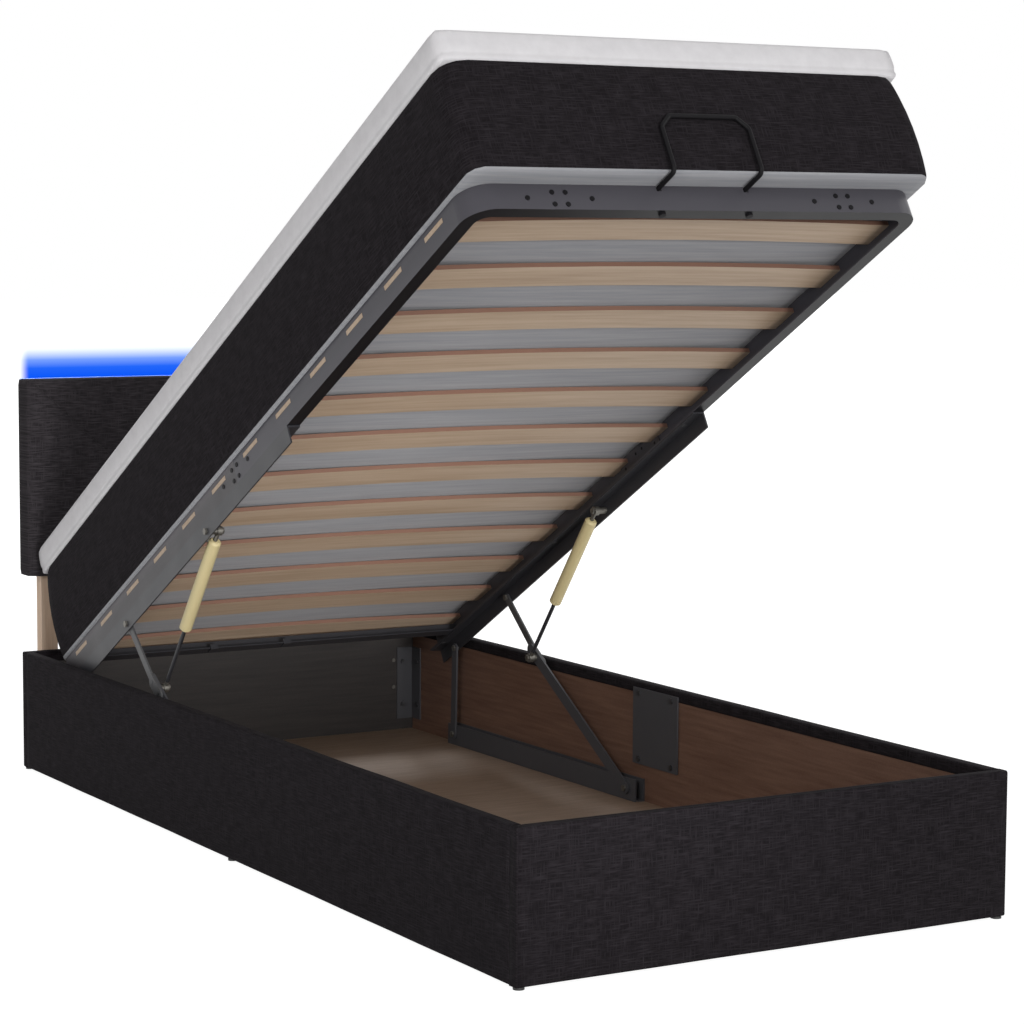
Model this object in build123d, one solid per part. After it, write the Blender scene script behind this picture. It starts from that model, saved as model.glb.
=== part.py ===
from build123d import *
from math import atan2, cos, degrees, hypot, radians, sin, sqrt
import os

# Single ottoman bed: a fabric-covered box base, a padded headboard on two pine legs with a light
# strip behind its top edge, and a slatted steel platform that carries the mattress.
# The platform is shown lifted. On each side a long arm and a short rear link swing on the base
# rail, and a gas strut works between the arm and the rail under the platform.
# X runs across the bed, Y towards the headboard, Z up. The origin is on the floor, under the
# middle of the base.

# Base
base_length = 2030.0
base_width = 930.0
base_height = 246.0
glide_height = 4.0
glide_radius = 9.0
board_thickness = 18.0
cover_thickness = 1.5
cover_edge_radius = 4.0
cover_fold = 22.0
floor_thickness = 4.0
batten_height = 8.0
batten_width = 45.0
batten_count = 5
floor_gap = 0.5
joint_plate_length = 156.0
joint_plate_below_rim = 12.0
joint_plate_height = 150.0
plate_thickness = 3.0
plate_bolt_inset = 21.0
plate_bolt_drop = 10.5
corner_leg = 40.0
corner_height = 160.0
corner_rise = 36.0
corner_bolt_inset = 32.0
corner_bolt_reach = 26.0

# Headboard
headboard_side_inset = 15.0
headboard_bottom = 400.0
headboard_top = 810.0
padding_front = 7.0
padding_side = 3.0
padding_edge_radius = 9.0
padding_round = 5.5
front_board = 12.0
frame_bar = 22.0
back_sheet = 3.0
leg_width = 35.0
leg_thickness = 28.0
leg_inset = 35.0
packer_thickness = 16.5
packer_height = 120.0
packer_middle = 138.0
leg_bolt_spacing = 60.0
seam_width = 4.0
seam_depth = 2.5
light_profile_depth = 11.0
light_profile_height = 16.0
light_profile_wall = 1.5
light_profile_inset = 8.0

# Slatted platform, in its own frame: back is the mattress's underside edge at the head end
frame_side_clearance = 15.5
front_overhang = 43.0
frame_start = 20.0
back_bar_place = 110.0
web_height = 44.0
web_thickness = 2.5
flange_width = 25.0
frame_corner_radius = 48.0
front_splice_distance = 270.0
splice_plate_length = 150.0
splice_plate_height = 34.0
splice_bolt_along = 12.0
splice_bolt_rise = 10.5
splice_bolt_single = 58.0
slat_count = 12
slat_width = 65.0
slat_thickness = 8.0
first_slat_distance = 110.0
slat_last_gap = 122.0
slat_camber = 7.7
slat_end_drop = 12.5
slat_slot_clearance = 0.5
clip_width = 16.0
clip_height = 8.0
clip_places = (-155.0, 10.0)
rail_bolt_shares = (0.04, 0.5, 0.96)

# Handle
handle_rod = 8.0
handle_spread = 166.0
handle_rise = 96.0
handle_chamfer = 20.0
handle_bend = 10.0
handle_standoff = 7.0

# Mattress and topper
mattress_length = 1965.0
mattress_width = 875.0
mattress_thickness = 194.0
mattress_low_corner = 36.0
mattress_top_corner = 55.0
side_bow = 6.0
edge_draw = 5.0
edge_draw_power = 24
edge_level_shares = (0.0, 0.012, 0.05, 0.18, 0.5, 0.82, 0.95, 0.988, 1.0)
topper_thickness = 51.0
topper_corner = 14.0
topper_crown_corner = 27.0
topper_inset = 5.0
topper_crown = 3.0
topper_crown_inset = 70.0
topper_side_bow = 2.0

# Lift
open_tilt = 29.7
open_setback = 138.0
open_sink = 8.4
closed_gap = 17.0
pivot_drop = 62.0
rear_pivot_drop = 72.0
arm_top_place = 352.0
strut_top_place = 786.0
rear_top_place = 100.0
arm_foot_place = 71.0
foot_pivot_height = 36.0
knee_place = 412.0
knee_height = 249.0
arm_width = 24.0
arm_link_width = 16.0
rear_link_width = 20.0
arm_overlap = 26.0
arm_thickness = 4.0
rail_start = 24.0
rail_reach = 1184.0
rail_leg = 32.0
rail_thickness = 3.0
pivot_bolt = 8.0
pivot_clearance = 0.15
side_gap = 0.3
washer_gap = 1.0
base_rail_start = 40.0
base_rail_end = 790.0
base_rail_height = 44.0
base_rail_screw_rise = 29.0
base_rail_screw_shares = (0.125, 0.375, 0.625, 0.875)
rivet_reach = 19.5
rivet_head_height = 0.6

# Gas strut
cylinder_diameter = 24.0
cylinder_bore = 20.0
cylinder_length = 228.0
cylinder_end_radius = 4.0
cylinder_start = 24.0
rod_diameter = 8.0
rod_clearance = 0.3
rod_engaged = 30.0
piston_length = 10.0
eye_width = 10.0
eye_radius = 9.0
eye_neck_radius = 4.0
strut_offset = 25.0

# Fasteners
bolt_radius = 3.0
bolt_head_radius = 5.5
bolt_head_height = 2.5
splice_head_height = 1.3
splice_head_radius = 4.2
rail_bolt_inset = 18.0
pivot_head_radius = 6.5
pivot_head_height = 4.0
bolt_hole_clearance = 0.2
leg_bolt_radius = 4.0
overrun = 5.0

# Places worked out from the sizes above
half_length = base_length / 2
half_width = base_width / 2
board_outer = half_width - cover_thickness
board_inner = board_outer - board_thickness
panel_depth = board_thickness + 2 * cover_thickness
board_bottom = glide_height + cover_thickness
board_top = base_height - cover_thickness
side_end = half_length - panel_depth
floor_top = batten_height + floor_thickness
headboard_width = base_width - 2 * headboard_side_inset
frame_half = board_inner - frame_side_clearance
frame_width = 2 * frame_half
frame_reach = mattress_length - front_overhang
side_splice = (first_slat_distance + frame_reach - slat_last_gap) / 2
rail_leg_outer = frame_half
rail_leg_inner = rail_leg_outer - rail_thickness
link_outer = rail_leg_inner - washer_gap
link_inner = link_outer - arm_thickness
arm_outer = link_inner
arm_inner = arm_outer - arm_thickness
ear_inner = arm_outer + washer_gap
strut_x = frame_half - strut_offset
splice_line = -web_height / 2 - web_thickness


def platform_point(place, drop, tilt, back):
    """Where a point of the platform lies: place is from its back, drop is below the mattress."""
    angle = radians(tilt)
    return (back[0] - place * cos(angle) - drop * sin(angle),
            back[1] + place * sin(angle) - drop * cos(angle))


def distance(p, q):
    return hypot(q[0] - p[0], q[1] - p[1])


def heading(p, q):
    return degrees(atan2(q[1] - p[1], q[0] - p[0]))


def turned(point, centre, angle):
    """The point after a turn about the centre."""
    reach = distance(centre, point)
    bearing = radians(heading(centre, point) + angle)
    return centre[0] + reach * cos(bearing), centre[1] + reach * sin(bearing)


# The lift's two poses. The arm keeps its length, which settles how far the platform moves back as
# it closes, and the rear link's foot is as far from its top pivot in both poses.
open_back = (half_length - open_setback, base_height - open_sink)
arm_foot = (arm_foot_place, foot_pivot_height)
arm_top = platform_point(arm_top_place, pivot_drop, open_tilt, open_back)
arm_reach = distance(arm_foot, arm_top)
closed_back_height = base_height + closed_gap
closed_rise = closed_back_height - pivot_drop - foot_pivot_height
arm_top_closed = (arm_foot_place + sqrt(arm_reach ** 2 - closed_rise ** 2), foot_pivot_height + closed_rise)
closed_back = (arm_top_closed[0] + arm_top_place, closed_back_height)
arm_swing = heading(arm_foot, arm_top_closed) - heading(arm_foot, arm_top)
rear_top = platform_point(rear_top_place, rear_pivot_drop, open_tilt, open_back)
rear_top_closed = platform_point(rear_top_place, rear_pivot_drop, 0, closed_back)
rear_foot_place = (rear_top_closed[0] ** 2 - rear_top[0] ** 2
                   + (foot_pivot_height - rear_top_closed[1]) ** 2
                   - (foot_pivot_height - rear_top[1]) ** 2) / (2 * (rear_top_closed[0] - rear_top[0]))
rear_foot = (rear_foot_place, foot_pivot_height)
rear_swing = heading(rear_foot, rear_top_closed) - heading(rear_foot, rear_top)
knee = (knee_place, knee_height)
knee_closed = turned(knee, arm_foot, arm_swing)
strut_top = platform_point(strut_top_place, pivot_drop, open_tilt, open_back)
strut_top_closed = platform_point(strut_top_place, pivot_drop, 0, closed_back)
strut_open_length = distance(strut_top, knee)
strut_closed_length = distance(strut_top_closed, knee_closed)
strut_swing = heading(strut_top_closed, knee_closed) - heading(strut_top, knee)
slat_pitch = (frame_reach - first_slat_distance - slat_last_gap) / (slat_count - 1)
platform_rest = Pos(0, open_back[0], open_back[1]) * Rot(-open_tilt, 0, 0)


def block(x0, x1, y0, y1, z0, z1):
    """A box between two corners."""
    return Pos((x0 + x1) / 2, (y0 + y1) / 2, (z0 + z1) / 2) * Box(x1 - x0, y1 - y0, z1 - z0)


def both_sides(shape):
    """The right-hand shape and its mirror image on the left."""
    return shape + mirror(shape, Plane.YZ)


def pin_across(point, x0, x1, radius):
    """A round bar along X through a point of the side view."""
    return extrude(Plane.YZ.offset(x0) * Pos(point[0], point[1]) * Circle(radius), x1 - x0)


def pin_along(x, z, y0, y1, radius):
    """A round bar along Y."""
    return extrude(Plane.XZ.offset(-y1) * Pos(x, z) * Circle(radius), y1 - y0)


def pin_up(x, y, z0, z1, radius):
    """A round bar along Z."""
    return extrude(Plane.XY.offset(z0) * Pos(x, y) * Circle(radius), z1 - z0)


def hex_up(x, y, z0, z1, radius):
    """A hexagon head along Z."""
    return extrude(Plane.XY.offset(z0) * Pos(x, y) * RegularPolygon(radius, 6), z1 - z0)


def hex_across(point, x0, x1, radius):
    """A hexagon head along X."""
    return extrude(Plane.YZ.offset(x0) * Pos(point[0], point[1]) * RegularPolygon(radius, 6), x1 - x0)


def strip(start, end, width, x0, thickness):
    """A flat bar with round ends, from one point of the side view to another."""
    middle = Pos((start[0] + end[0]) / 2, (start[1] + end[1]) / 2)
    outline = Rot(0, 0, heading(start, end)) * SlotCenterToCenter(distance(start, end), width)
    return extrude(Plane.YZ.offset(x0) * middle * outline, thickness)


def panel_profile(fold_side):
    """Section of the fabric round a board, open on the inner face below the fold."""
    height = base_height - glide_height
    outer = RectangleRounded(panel_depth, height, cover_edge_radius)
    inner_height = height - 2 * cover_thickness
    inner = RectangleRounded(board_thickness, inner_height, cover_edge_radius - cover_thickness)
    opening = Rectangle(cover_edge_radius + overrun, height - cover_fold + overrun)
    across = fold_side * (panel_depth / 2 - cover_thickness + (cover_edge_radius + overrun) / 2)
    return outer - inner - Pos(across, -(cover_fold + overrun) / 2) * opening


def board_profile():
    height = base_height - glide_height - 2 * cover_thickness
    return RectangleRounded(board_thickness, height, cover_edge_radius - cover_thickness)


def side_board(y0, y1):
    """One half of a side board, on the right."""
    middle = (board_inner + board_outer) / 2
    rise = (board_bottom + board_top) / 2
    return extrude(Plane.XZ.offset(-y1) * Pos(middle, rise) * board_profile(), y1 - y0)


def side_cover():
    middle = (board_inner + board_outer) / 2
    rise = (base_height + glide_height) / 2
    return extrude(Plane.XZ.offset(-side_end) * Pos(middle, rise) * panel_profile(-1), 2 * side_end)


def end_board():
    """The foot board; the head board is its mirror image."""
    middle = -(half_length - cover_thickness - board_thickness / 2)
    rise = (board_bottom + board_top) / 2
    return extrude(Plane.YZ.offset(-board_outer) * Pos(middle, rise) * board_profile(), 2 * board_outer)


def end_cover():
    """The foot cover, closed at both ends."""
    middle = -(half_length - panel_depth / 2)
    rise = (base_height + glide_height) / 2
    sleeve = extrude(Plane.YZ.offset(-board_outer) * Pos(middle, rise) * panel_profile(1), 2 * board_outer)
    cap_outline = RectangleRounded(panel_depth, base_height - glide_height, cover_edge_radius)
    cap = extrude(Plane.YZ.offset(board_outer) * Pos(middle, rise) * cap_outline, cover_thickness)
    return sleeve + cap + mirror(cap, Plane.YZ)


def leg_bolt_heights():
    return packer_middle - leg_bolt_spacing / 2, packer_middle + leg_bolt_spacing / 2


def leg_middle():
    return headboard_width / 2 - leg_inset - leg_width / 2


def leg_bolt_holes():
    radius = leg_bolt_radius + bolt_hole_clearance
    start = half_length - panel_depth - overrun
    end = half_length + packer_thickness + leg_thickness + overrun
    holes = [pin_along(leg_middle(), z, start, end, radius) for z in leg_bolt_heights()]
    return both_sides(holes[0] + holes[1])


def glides():
    """Plastic glides under the side and end panels."""
    side = half_width - panel_depth / 2
    end = half_length - panel_depth / 2
    places = [(x, y) for x in (-side, side) for y in (-end, 0, end)]
    return [pin_up(x, y, 0, glide_height, glide_radius) for x, y in places]


def corner_bracket():
    """Angle in the inner corner at the foot end, right."""
    z0 = corner_rise
    z1 = corner_rise + corner_height
    board_face = half_length - cover_thickness - board_thickness
    side_face = board_inner - plate_thickness
    on_side = block(side_face, board_inner, -board_face, -board_face + corner_leg, z0, z1)
    end_face = -board_face + plate_thickness
    on_end = block(board_inner - corner_leg, board_inner, -board_face, end_face, z0, z1)
    return on_side + on_end


def corner_bolt_heights():
    return corner_rise + corner_bolt_inset, corner_rise + corner_height - corner_bolt_inset


def corner_screws():
    """Bolt heads on one corner angle."""
    board_face = half_length - cover_thickness - board_thickness
    along = -board_face + corner_bolt_reach
    across = board_inner - corner_bolt_reach
    heads = []
    for z in corner_bolt_heights():
        face = board_inner - plate_thickness
        heads.append(pin_across((along, z), face - bolt_head_height, face, bolt_head_radius))
        inner = -board_face + plate_thickness
        heads.append(pin_along(across, z, inner, inner + bolt_head_height, bolt_head_radius))
    return heads


def joint_plate():
    """Flat plate over the seam of the two side boards and the fabric's fold, right."""
    top = base_height - joint_plate_below_rim
    half = joint_plate_length / 2
    face = board_inner - cover_thickness
    return block(face - plate_thickness, face, -half, half, top - joint_plate_height, top)


def joint_screws():
    top = base_height - joint_plate_below_rim
    face = board_inner - cover_thickness - plate_thickness
    low = top - joint_plate_height + plate_bolt_drop
    along = joint_plate_length / 2 - plate_bolt_inset
    places = [(y, z) for y in (-along, along) for z in (low, top - plate_bolt_drop)]
    return [pin_across(place, face - bolt_head_height, face, bolt_head_radius) for place in places]


def storage_floor(y0, y1):
    reach = board_inner - floor_gap
    return block(-reach, reach, y0, y1, batten_height, floor_top)


def floor_battens():
    reach = board_inner - floor_gap
    inner_end = half_length - cover_thickness - board_thickness
    pitch = (2 * inner_end - batten_width) / (batten_count - 1)
    rows = [-inner_end + batten_width / 2 + i * pitch for i in range(batten_count)]
    half = batten_width / 2
    return [block(-reach, reach, y - half, y + half, 0, batten_height) for y in rows]


def headboard_front():
    """Front face of the headboard's core: its legs stand behind the front board."""
    return half_length + packer_thickness - front_board


def headboard_core():
    """Front board on a bar frame, with a thin back sheet and room for the legs."""
    front = headboard_front()
    half = headboard_width / 2 - padding_side
    low = headboard_bottom + padding_side
    high = headboard_top - padding_side
    frame_front = front + front_board
    back = frame_front + leg_thickness
    solid = block(-half, half, front, back + back_sheet, low, high)
    room = block(-half + frame_bar, half - frame_bar, frame_front, back, low + frame_bar, high - frame_bar)
    reach = leg_width / 2 + floor_gap / 2
    middle = leg_middle()
    notch_top = low + frame_bar + overrun
    notch = block(middle - reach, middle + reach, frame_front, back, low - overrun, notch_top)
    return solid - room - both_sides(notch)


def headboard_cover():
    """Padded cover round the front and edges, with a V of two stitched seams on the front."""
    front = headboard_front()
    half = headboard_width / 2
    depth_end = front + front_board + leg_thickness + back_sheet
    outer_front = front - padding_front
    plan = RectangleRounded(headboard_width, headboard_top - headboard_bottom, padding_edge_radius)
    middle_z = (headboard_top + headboard_bottom) / 2
    outline = Plane.XZ.offset(-depth_end) * Pos(0, middle_z) * plan
    shell = extrude(outline, depth_end - outer_front)
    front_edges = shell.edges().filter_by_position(Axis.Y, outer_front, outer_front)
    shell = fillet(front_edges, padding_round)
    inner_half = half - padding_side
    low = headboard_bottom + padding_side
    high = headboard_top - padding_side
    shell = shell - block(-inner_half, inner_half, front, depth_end + overrun, low, high)
    reach = leg_width / 2 + floor_gap / 2
    leg_front = front + front_board
    middle = leg_middle()
    notch = block(middle - reach, middle + reach, leg_front, leg_front + leg_thickness,
                  headboard_bottom - overrun, low + overrun)
    shell = shell - both_sides(notch)
    return shell - both_sides(seam_groove())


def seam_groove():
    """Shallow groove from an upper corner down to the middle of the bottom edge."""
    front = headboard_front() - padding_front
    start = (headboard_width / 2 - padding_edge_radius * 2, headboard_top - padding_edge_radius)
    end = (seam_width, headboard_bottom + padding_edge_radius)
    middle = Pos((start[0] + end[0]) / 2, (start[1] + end[1]) / 2)
    outline = middle * Rot(0, 0, heading(start, end)) * Rectangle(distance(start, end), seam_width)
    return extrude(Plane.XZ.offset(-front - seam_depth) * outline, seam_depth + overrun)


def headboard_leg():
    front = headboard_front() + front_board
    middle = leg_middle()
    top = headboard_top - padding_side - frame_bar
    leg = block(middle - leg_width / 2, middle + leg_width / 2, front, front + leg_thickness, 0, top)
    return leg - leg_bolt_holes()


def leg_packer():
    """Block between the base and the headboard leg."""
    end = headboard_front() + front_board
    middle = leg_middle()
    low = packer_middle - packer_height / 2
    half = leg_width / 2
    packer = block(middle - half, middle + half, half_length, end, low, low + packer_height)
    return packer - leg_bolt_holes()


def leg_bolts():
    start = half_length - panel_depth
    end = headboard_front() + front_board + leg_thickness
    bolts = []
    for z in leg_bolt_heights():
        shank = pin_along(leg_middle(), z, start, end, leg_bolt_radius)
        head = pin_along(leg_middle(), z, end, end + pivot_head_height, pivot_head_radius)
        bolts.append(shank + head)
    return bolts


def light_profile():
    """Channel on the back of the headboard, open at the top."""
    back = headboard_front() + front_board + leg_thickness + back_sheet
    half = headboard_width / 2 - light_profile_inset
    top = headboard_top - light_profile_wall
    channel = block(-half, half, back, back + light_profile_depth, top - light_profile_height, top)
    wall = light_profile_wall
    trough = block(-half + wall, half - wall, back + wall, back + light_profile_depth - wall,
                   top - light_profile_height + wall, top + overrun)
    return channel - trough


def light_diffuser():
    back = headboard_front() + front_board + leg_thickness + back_sheet
    wall = light_profile_wall
    half = headboard_width / 2 - light_profile_inset - wall
    top = headboard_top
    return block(-half, half, back + wall, back + light_profile_depth - wall,
                 top - light_profile_height + wall, top)


def base_rail():
    """Channel along the inside of the box: back on the board, bottom on the floor, ear with the pivots."""
    y0 = base_rail_start
    y1 = base_rail_end
    z0 = floor_top
    z1 = floor_top + base_rail_height
    back = block(board_inner - rail_thickness, board_inner, y0, y1, z0, z1)
    bottom = block(ear_inner, board_inner, y0, y1, z0, z0 + rail_thickness)
    ear = block(ear_inner, ear_inner + rail_thickness, y0, y1, z0, z1)
    rail = back + bottom + ear
    for foot in (arm_foot, rear_foot):
        rail = rail - pin_across(foot, ear_inner - overrun, ear_inner + rail_thickness + overrun / 2,
                                 pivot_bolt / 2 + bolt_hole_clearance)
    return rail


def base_rail_screws():
    face = board_inner - rail_thickness
    height = floor_top + base_rail_screw_rise
    span = base_rail_end - base_rail_start
    rows = [base_rail_start + span * share for share in base_rail_screw_shares]
    return [pin_across((y, height), face - bolt_head_height, face, bolt_head_radius) for y in rows]


def foot_pivot(foot):
    """Shouldered bolt that carries an arm or link on the base rail."""
    ear_outer = ear_inner + rail_thickness
    inner_face = arm_inner - side_gap
    shank = pin_across(foot, inner_face, ear_outer, pivot_bolt / 2)
    collar = pin_across(foot, arm_outer + side_gap, ear_inner, pivot_head_radius)
    head = hex_across(foot, ear_outer, ear_outer + pivot_head_height, pivot_head_radius)
    nut = hex_across(foot, inner_face - pivot_head_height, inner_face, pivot_head_radius)
    return shank + collar + head + nut


def pivot_hole(point, x0, x1):
    return pin_across(point, x0 - overrun / 2, x1 + overrun / 2, pivot_bolt / 2 + pivot_clearance)


def knee_end():
    """The arm's upper end, a little past the knee."""
    bearing = radians(heading(arm_foot, knee))
    return knee[0] + arm_overlap * cos(bearing), knee[1] + arm_overlap * sin(bearing)


def lower_arm():
    arm = strip(arm_foot, knee_end(), arm_width, arm_inner, arm_thickness)
    return arm - pivot_hole(arm_foot, arm_inner, arm_outer) - rivet_holes()


def rivet_places():
    """Two rivets that join the lower arm and the link, either side of the knee."""
    bearing = radians(heading(arm_foot, knee))
    along = rivet_reach * cos(bearing)
    up = rivet_reach * sin(bearing)
    return [(knee[0] - along, knee[1] - up), (knee[0] + along, knee[1] + up)]


def rivet_holes():
    first, second = [pin_across(place, arm_inner - overrun, link_outer + overrun, bolt_radius)
                     for place in rivet_places()]
    return first + second


def arm_link():
    """Upper part of the arm: a plate over the knee and a narrow strip up to the platform rail."""
    first, second = rivet_places()
    plate = strip(first, second, arm_width, link_inner, arm_thickness)
    link = plate + strip(knee, arm_top, arm_link_width, link_inner, arm_thickness)
    return link - pivot_hole(arm_top, link_inner, link_outer) - rivet_holes()


def rivets():
    """Rivets flush with the arm's inner face, with a thin head on the outer one."""
    pieces = []
    for place in rivet_places():
        shank = pin_across(place, arm_inner, link_outer, bolt_radius)
        head = pin_across(place, link_outer, link_outer + rivet_head_height, bolt_head_radius)
        pieces.append(shank + head)
    return pieces


def rear_link():
    link = strip(rear_foot, rear_top, rear_link_width, arm_inner, arm_thickness)
    return link - pivot_hole(rear_foot, arm_inner, arm_outer) - pivot_hole(rear_top, arm_inner, arm_outer)


def rear_link_pin():
    """Headed pin in the link's top end; it reaches to just short of the platform rail."""
    shank = pin_across(rear_top, arm_inner, rail_leg_inner - side_gap, pivot_bolt / 2)
    head = hex_across(rear_top, arm_inner - pivot_head_height, arm_inner, pivot_head_radius)
    return shank + head


def upper_rail_bolt(point, inner_face, collar_face):
    """Bolt through the platform rail: outer head, collar up to the moving piece, inner nut."""
    shank = pin_across(point, inner_face, rail_leg_outer, pivot_bolt / 2)
    collar = pin_across(point, collar_face, rail_leg_inner, pivot_head_radius)
    head = hex_across(point, rail_leg_outer, rail_leg_outer + pivot_head_height, pivot_head_radius)
    nut = hex_across(point, inner_face - pivot_head_height, inner_face, pivot_head_radius)
    return shank + collar + head + nut


def arm_top_bolt():
    return upper_rail_bolt(arm_top, link_inner - side_gap, link_outer + side_gap)


def strut_top_bolt():
    half = eye_width / 2
    return upper_rail_bolt(strut_top, strut_x - half - side_gap, strut_x + half + side_gap)


def knee_pin():
    """Pin of the strut's lower eye; it reaches to just short of the arm."""
    half = eye_width / 2
    shank = pin_across(knee, strut_x - half, strut_x + half, pivot_bolt / 2)
    collar = pin_across(knee, strut_x + half, arm_inner - side_gap, pivot_head_radius)
    head = hex_across(knee, strut_x - half - pivot_head_height, strut_x - half, pivot_head_radius)
    return shank + collar + head


def strut_frame():
    """Place of the strut: its own Z runs from the top eye down to the knee."""
    lean = heading(strut_top, knee)
    return Pos(strut_x, strut_top[0], strut_top[1]) * Rot(lean - 90, 0, 0)


def turned_profile(points):
    """A round part from half of its section, radius and height."""
    face = make_face(Polyline([(radius, 0, height) for radius, height in points], close=True))
    return revolve(face, Axis.Z, 360)


def strut_cylinder():
    """Tube with a closed top and a guide bush at the lower end."""
    outer = cylinder_diameter / 2
    bore = cylinder_bore / 2
    guide = rod_diameter / 2 + rod_clearance
    wall = outer - bore
    start = cylinder_start
    end = start + cylinder_length
    bevel = cylinder_end_radius
    body = turned_profile([(0, start), (outer - bevel, start), (outer, start + bevel), (outer, end - bevel),
                           (outer - bevel, end), (guide, end), (guide, end - piston_length),
                           (bore, end - piston_length), (bore, start + 2 * wall), (0, start + 2 * wall)])
    return strut_frame() * body


def eye(end_height, neck_height, hole_radius):
    """Flat ring with a neck, in the strut's own frame."""
    ring = Pos(0, 0, end_height) * Rot(0, 90, 0) * Cylinder(eye_radius, eye_width)
    low, high = sorted((end_height, neck_height))
    neck = Pos(0, 0, (low + high) / 2) * Cylinder(eye_neck_radius, high - low)
    hole = Pos(0, 0, end_height) * Rot(0, 90, 0) * Cylinder(hole_radius, 2 * eye_width)
    return strut_frame() * (ring + neck - hole)


def strut_top_eye():
    return eye(0, cylinder_start, pivot_bolt / 2 + pivot_clearance)


def rod_end():
    return strut_open_length - eye_radius * 2


def strut_foot_eye():
    return eye(strut_open_length, rod_end(), pivot_bolt / 2)


def strut_rod():
    """Rod with its piston at the upper end."""
    radius = rod_diameter / 2
    piston = cylinder_bore / 2 - rod_clearance
    start = cylinder_start + cylinder_length - rod_engaged - piston_length
    body = turned_profile([(0, start), (piston, start), (piston, start + piston_length),
                           (radius, start + piston_length), (radius, rod_end()), (0, rod_end())])
    return strut_frame() * body


def frame_outline(inset):
    """Plan of the platform frame, moved in by inset, round at the foot end and open past the back."""
    width = frame_width - 2 * inset
    length = frame_reach - inset + overrun
    outline = Pos(0, -(frame_reach - inset - overrun) / 2) * Rectangle(width, length)
    corners = outline.vertices().group_by(Axis.Y)[0]
    return fillet(corners, frame_corner_radius - inset)


def frame_shell():
    """Web and inward bottom flange of the whole frame, up to its back end."""
    outer = frame_outline(0)
    web = extrude(Plane.XY.offset(-web_height) * (outer - frame_outline(web_thickness)), web_height)
    flange = extrude(Plane.XY.offset(-web_height) * (outer - frame_outline(flange_width)), web_thickness)
    behind = block(-frame_half, frame_half, -frame_start, 2 * overrun, -web_height, 0)
    shell = web + flange - behind - slat_slots()
    return shell - handle_notches() - rail_bolt_holes() - splice_holes()


def slat_rows():
    return [-(first_slat_distance + i * slat_pitch) for i in range(slat_count)]


def slat_slots():
    half_slot = slat_width / 2 + slat_slot_clearance
    half_rise = slat_thickness / 2 + slat_slot_clearance
    slots = [block(-frame_half - overrun, frame_half + overrun, y - half_slot, y + half_slot,
                   -slat_end_drop - half_rise, -slat_end_drop + half_rise) for y in slat_rows()]
    middle = block(-frame_half + web_thickness + overrun, frame_half - web_thickness - overrun,
                   -frame_reach, 0, -web_height, 0)
    return [slot - middle for slot in slots]


def slats():
    """Sprung slats, bowed up under the mattress, with their ends in the web's slots."""
    half = frame_half
    half_rise = slat_thickness / 2
    low = -slat_end_drop
    high = low + slat_camber
    straight = half - web_thickness - overrun
    top = ThreePointArc((-straight, low + half_rise), (0, high + half_rise), (straight, low + half_rise))
    bottom = ThreePointArc((-straight, low - half_rise), (0, high - half_rise), (straight, low - half_rise))
    right = Polyline((straight, low + half_rise), (half, low + half_rise), (half, low - half_rise),
                     (straight, low - half_rise))
    left = Polyline((-straight, low + half_rise), (-half, low + half_rise), (-half, low - half_rise),
                    (-straight, low - half_rise))
    section = make_face(Curve() + [top, right, bottom, left])
    return [extrude(Plane.XZ.offset(-y - slat_width / 2) * section, slat_width) for y in slat_rows()]


def handle_line():
    """Where the handle's legs stand, across and along."""
    return handle_spread / 2, -(frame_reach - web_thickness - handle_rod)


def handle_notches():
    reach = handle_rod / 2 + slat_slot_clearance
    across = handle_line()[0]
    front = -frame_reach - overrun
    inner = -frame_reach + web_thickness + overrun
    notch = block(across - reach, across + reach, front, inner, -2 * reach - side_gap, overrun)
    return both_sides(notch)


def handle():
    """Bent rod: up from the front flange, forward under the mattress, then a loop up its face."""
    across, inside = handle_line()
    front = -(mattress_length + handle_standoff + handle_rod / 2)
    run = -handle_rod / 2 - side_gap
    top = handle_rise
    chamfer = handle_chamfer
    foot = -web_height + web_thickness
    right = [(across, inside, foot), (across, inside, run), (across, front, run),
             (across, front, top - chamfer), (across - chamfer, front, top)]
    left = [(-x, y, z) for x, y, z in reversed(right)]
    path = FilletPolyline(*right, *left, radius=handle_bend)
    section = Plane(path @ 0, z_dir=path % 0) * Circle(handle_rod / 2)
    return sweep(section, path)


def handle_bolts():
    across, inside = handle_line()
    low = -web_height
    return [hex_up(x, inside, low - pivot_head_height, low, pivot_head_radius) for x in (-across, across)]


def splice_places():
    """Bolt places about a seam: along it and up."""
    near = [(along, rise) for along in (-splice_bolt_along, splice_bolt_along)
            for rise in (-splice_bolt_rise, splice_bolt_rise)]
    return near + [(-splice_bolt_single, 0), (splice_bolt_single, 0)]


def side_splice_pins(x0, x1, radius):
    """Round bars through the side web at its seam, right, in the platform's frame."""
    return [pin_across((-side_splice + along, splice_line + rise), x0, x1, radius)
            for along, rise in splice_places()]


def front_splice_pins(y0, y1, radius):
    """Round bars through the front web at its right seam."""
    return [pin_along(front_splice_distance + along, splice_line + rise, y0, y1, radius)
            for along, rise in splice_places()]


def splice_holes():
    radius = bolt_radius + bolt_hole_clearance
    side = side_splice_pins(frame_half - web_thickness - overrun, frame_half + overrun, radius)
    front = front_splice_pins(-frame_reach - overrun, -frame_reach + web_thickness + overrun, radius)
    right = side + front
    return right + [mirror(hole, Plane.YZ) for hole in right]


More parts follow.
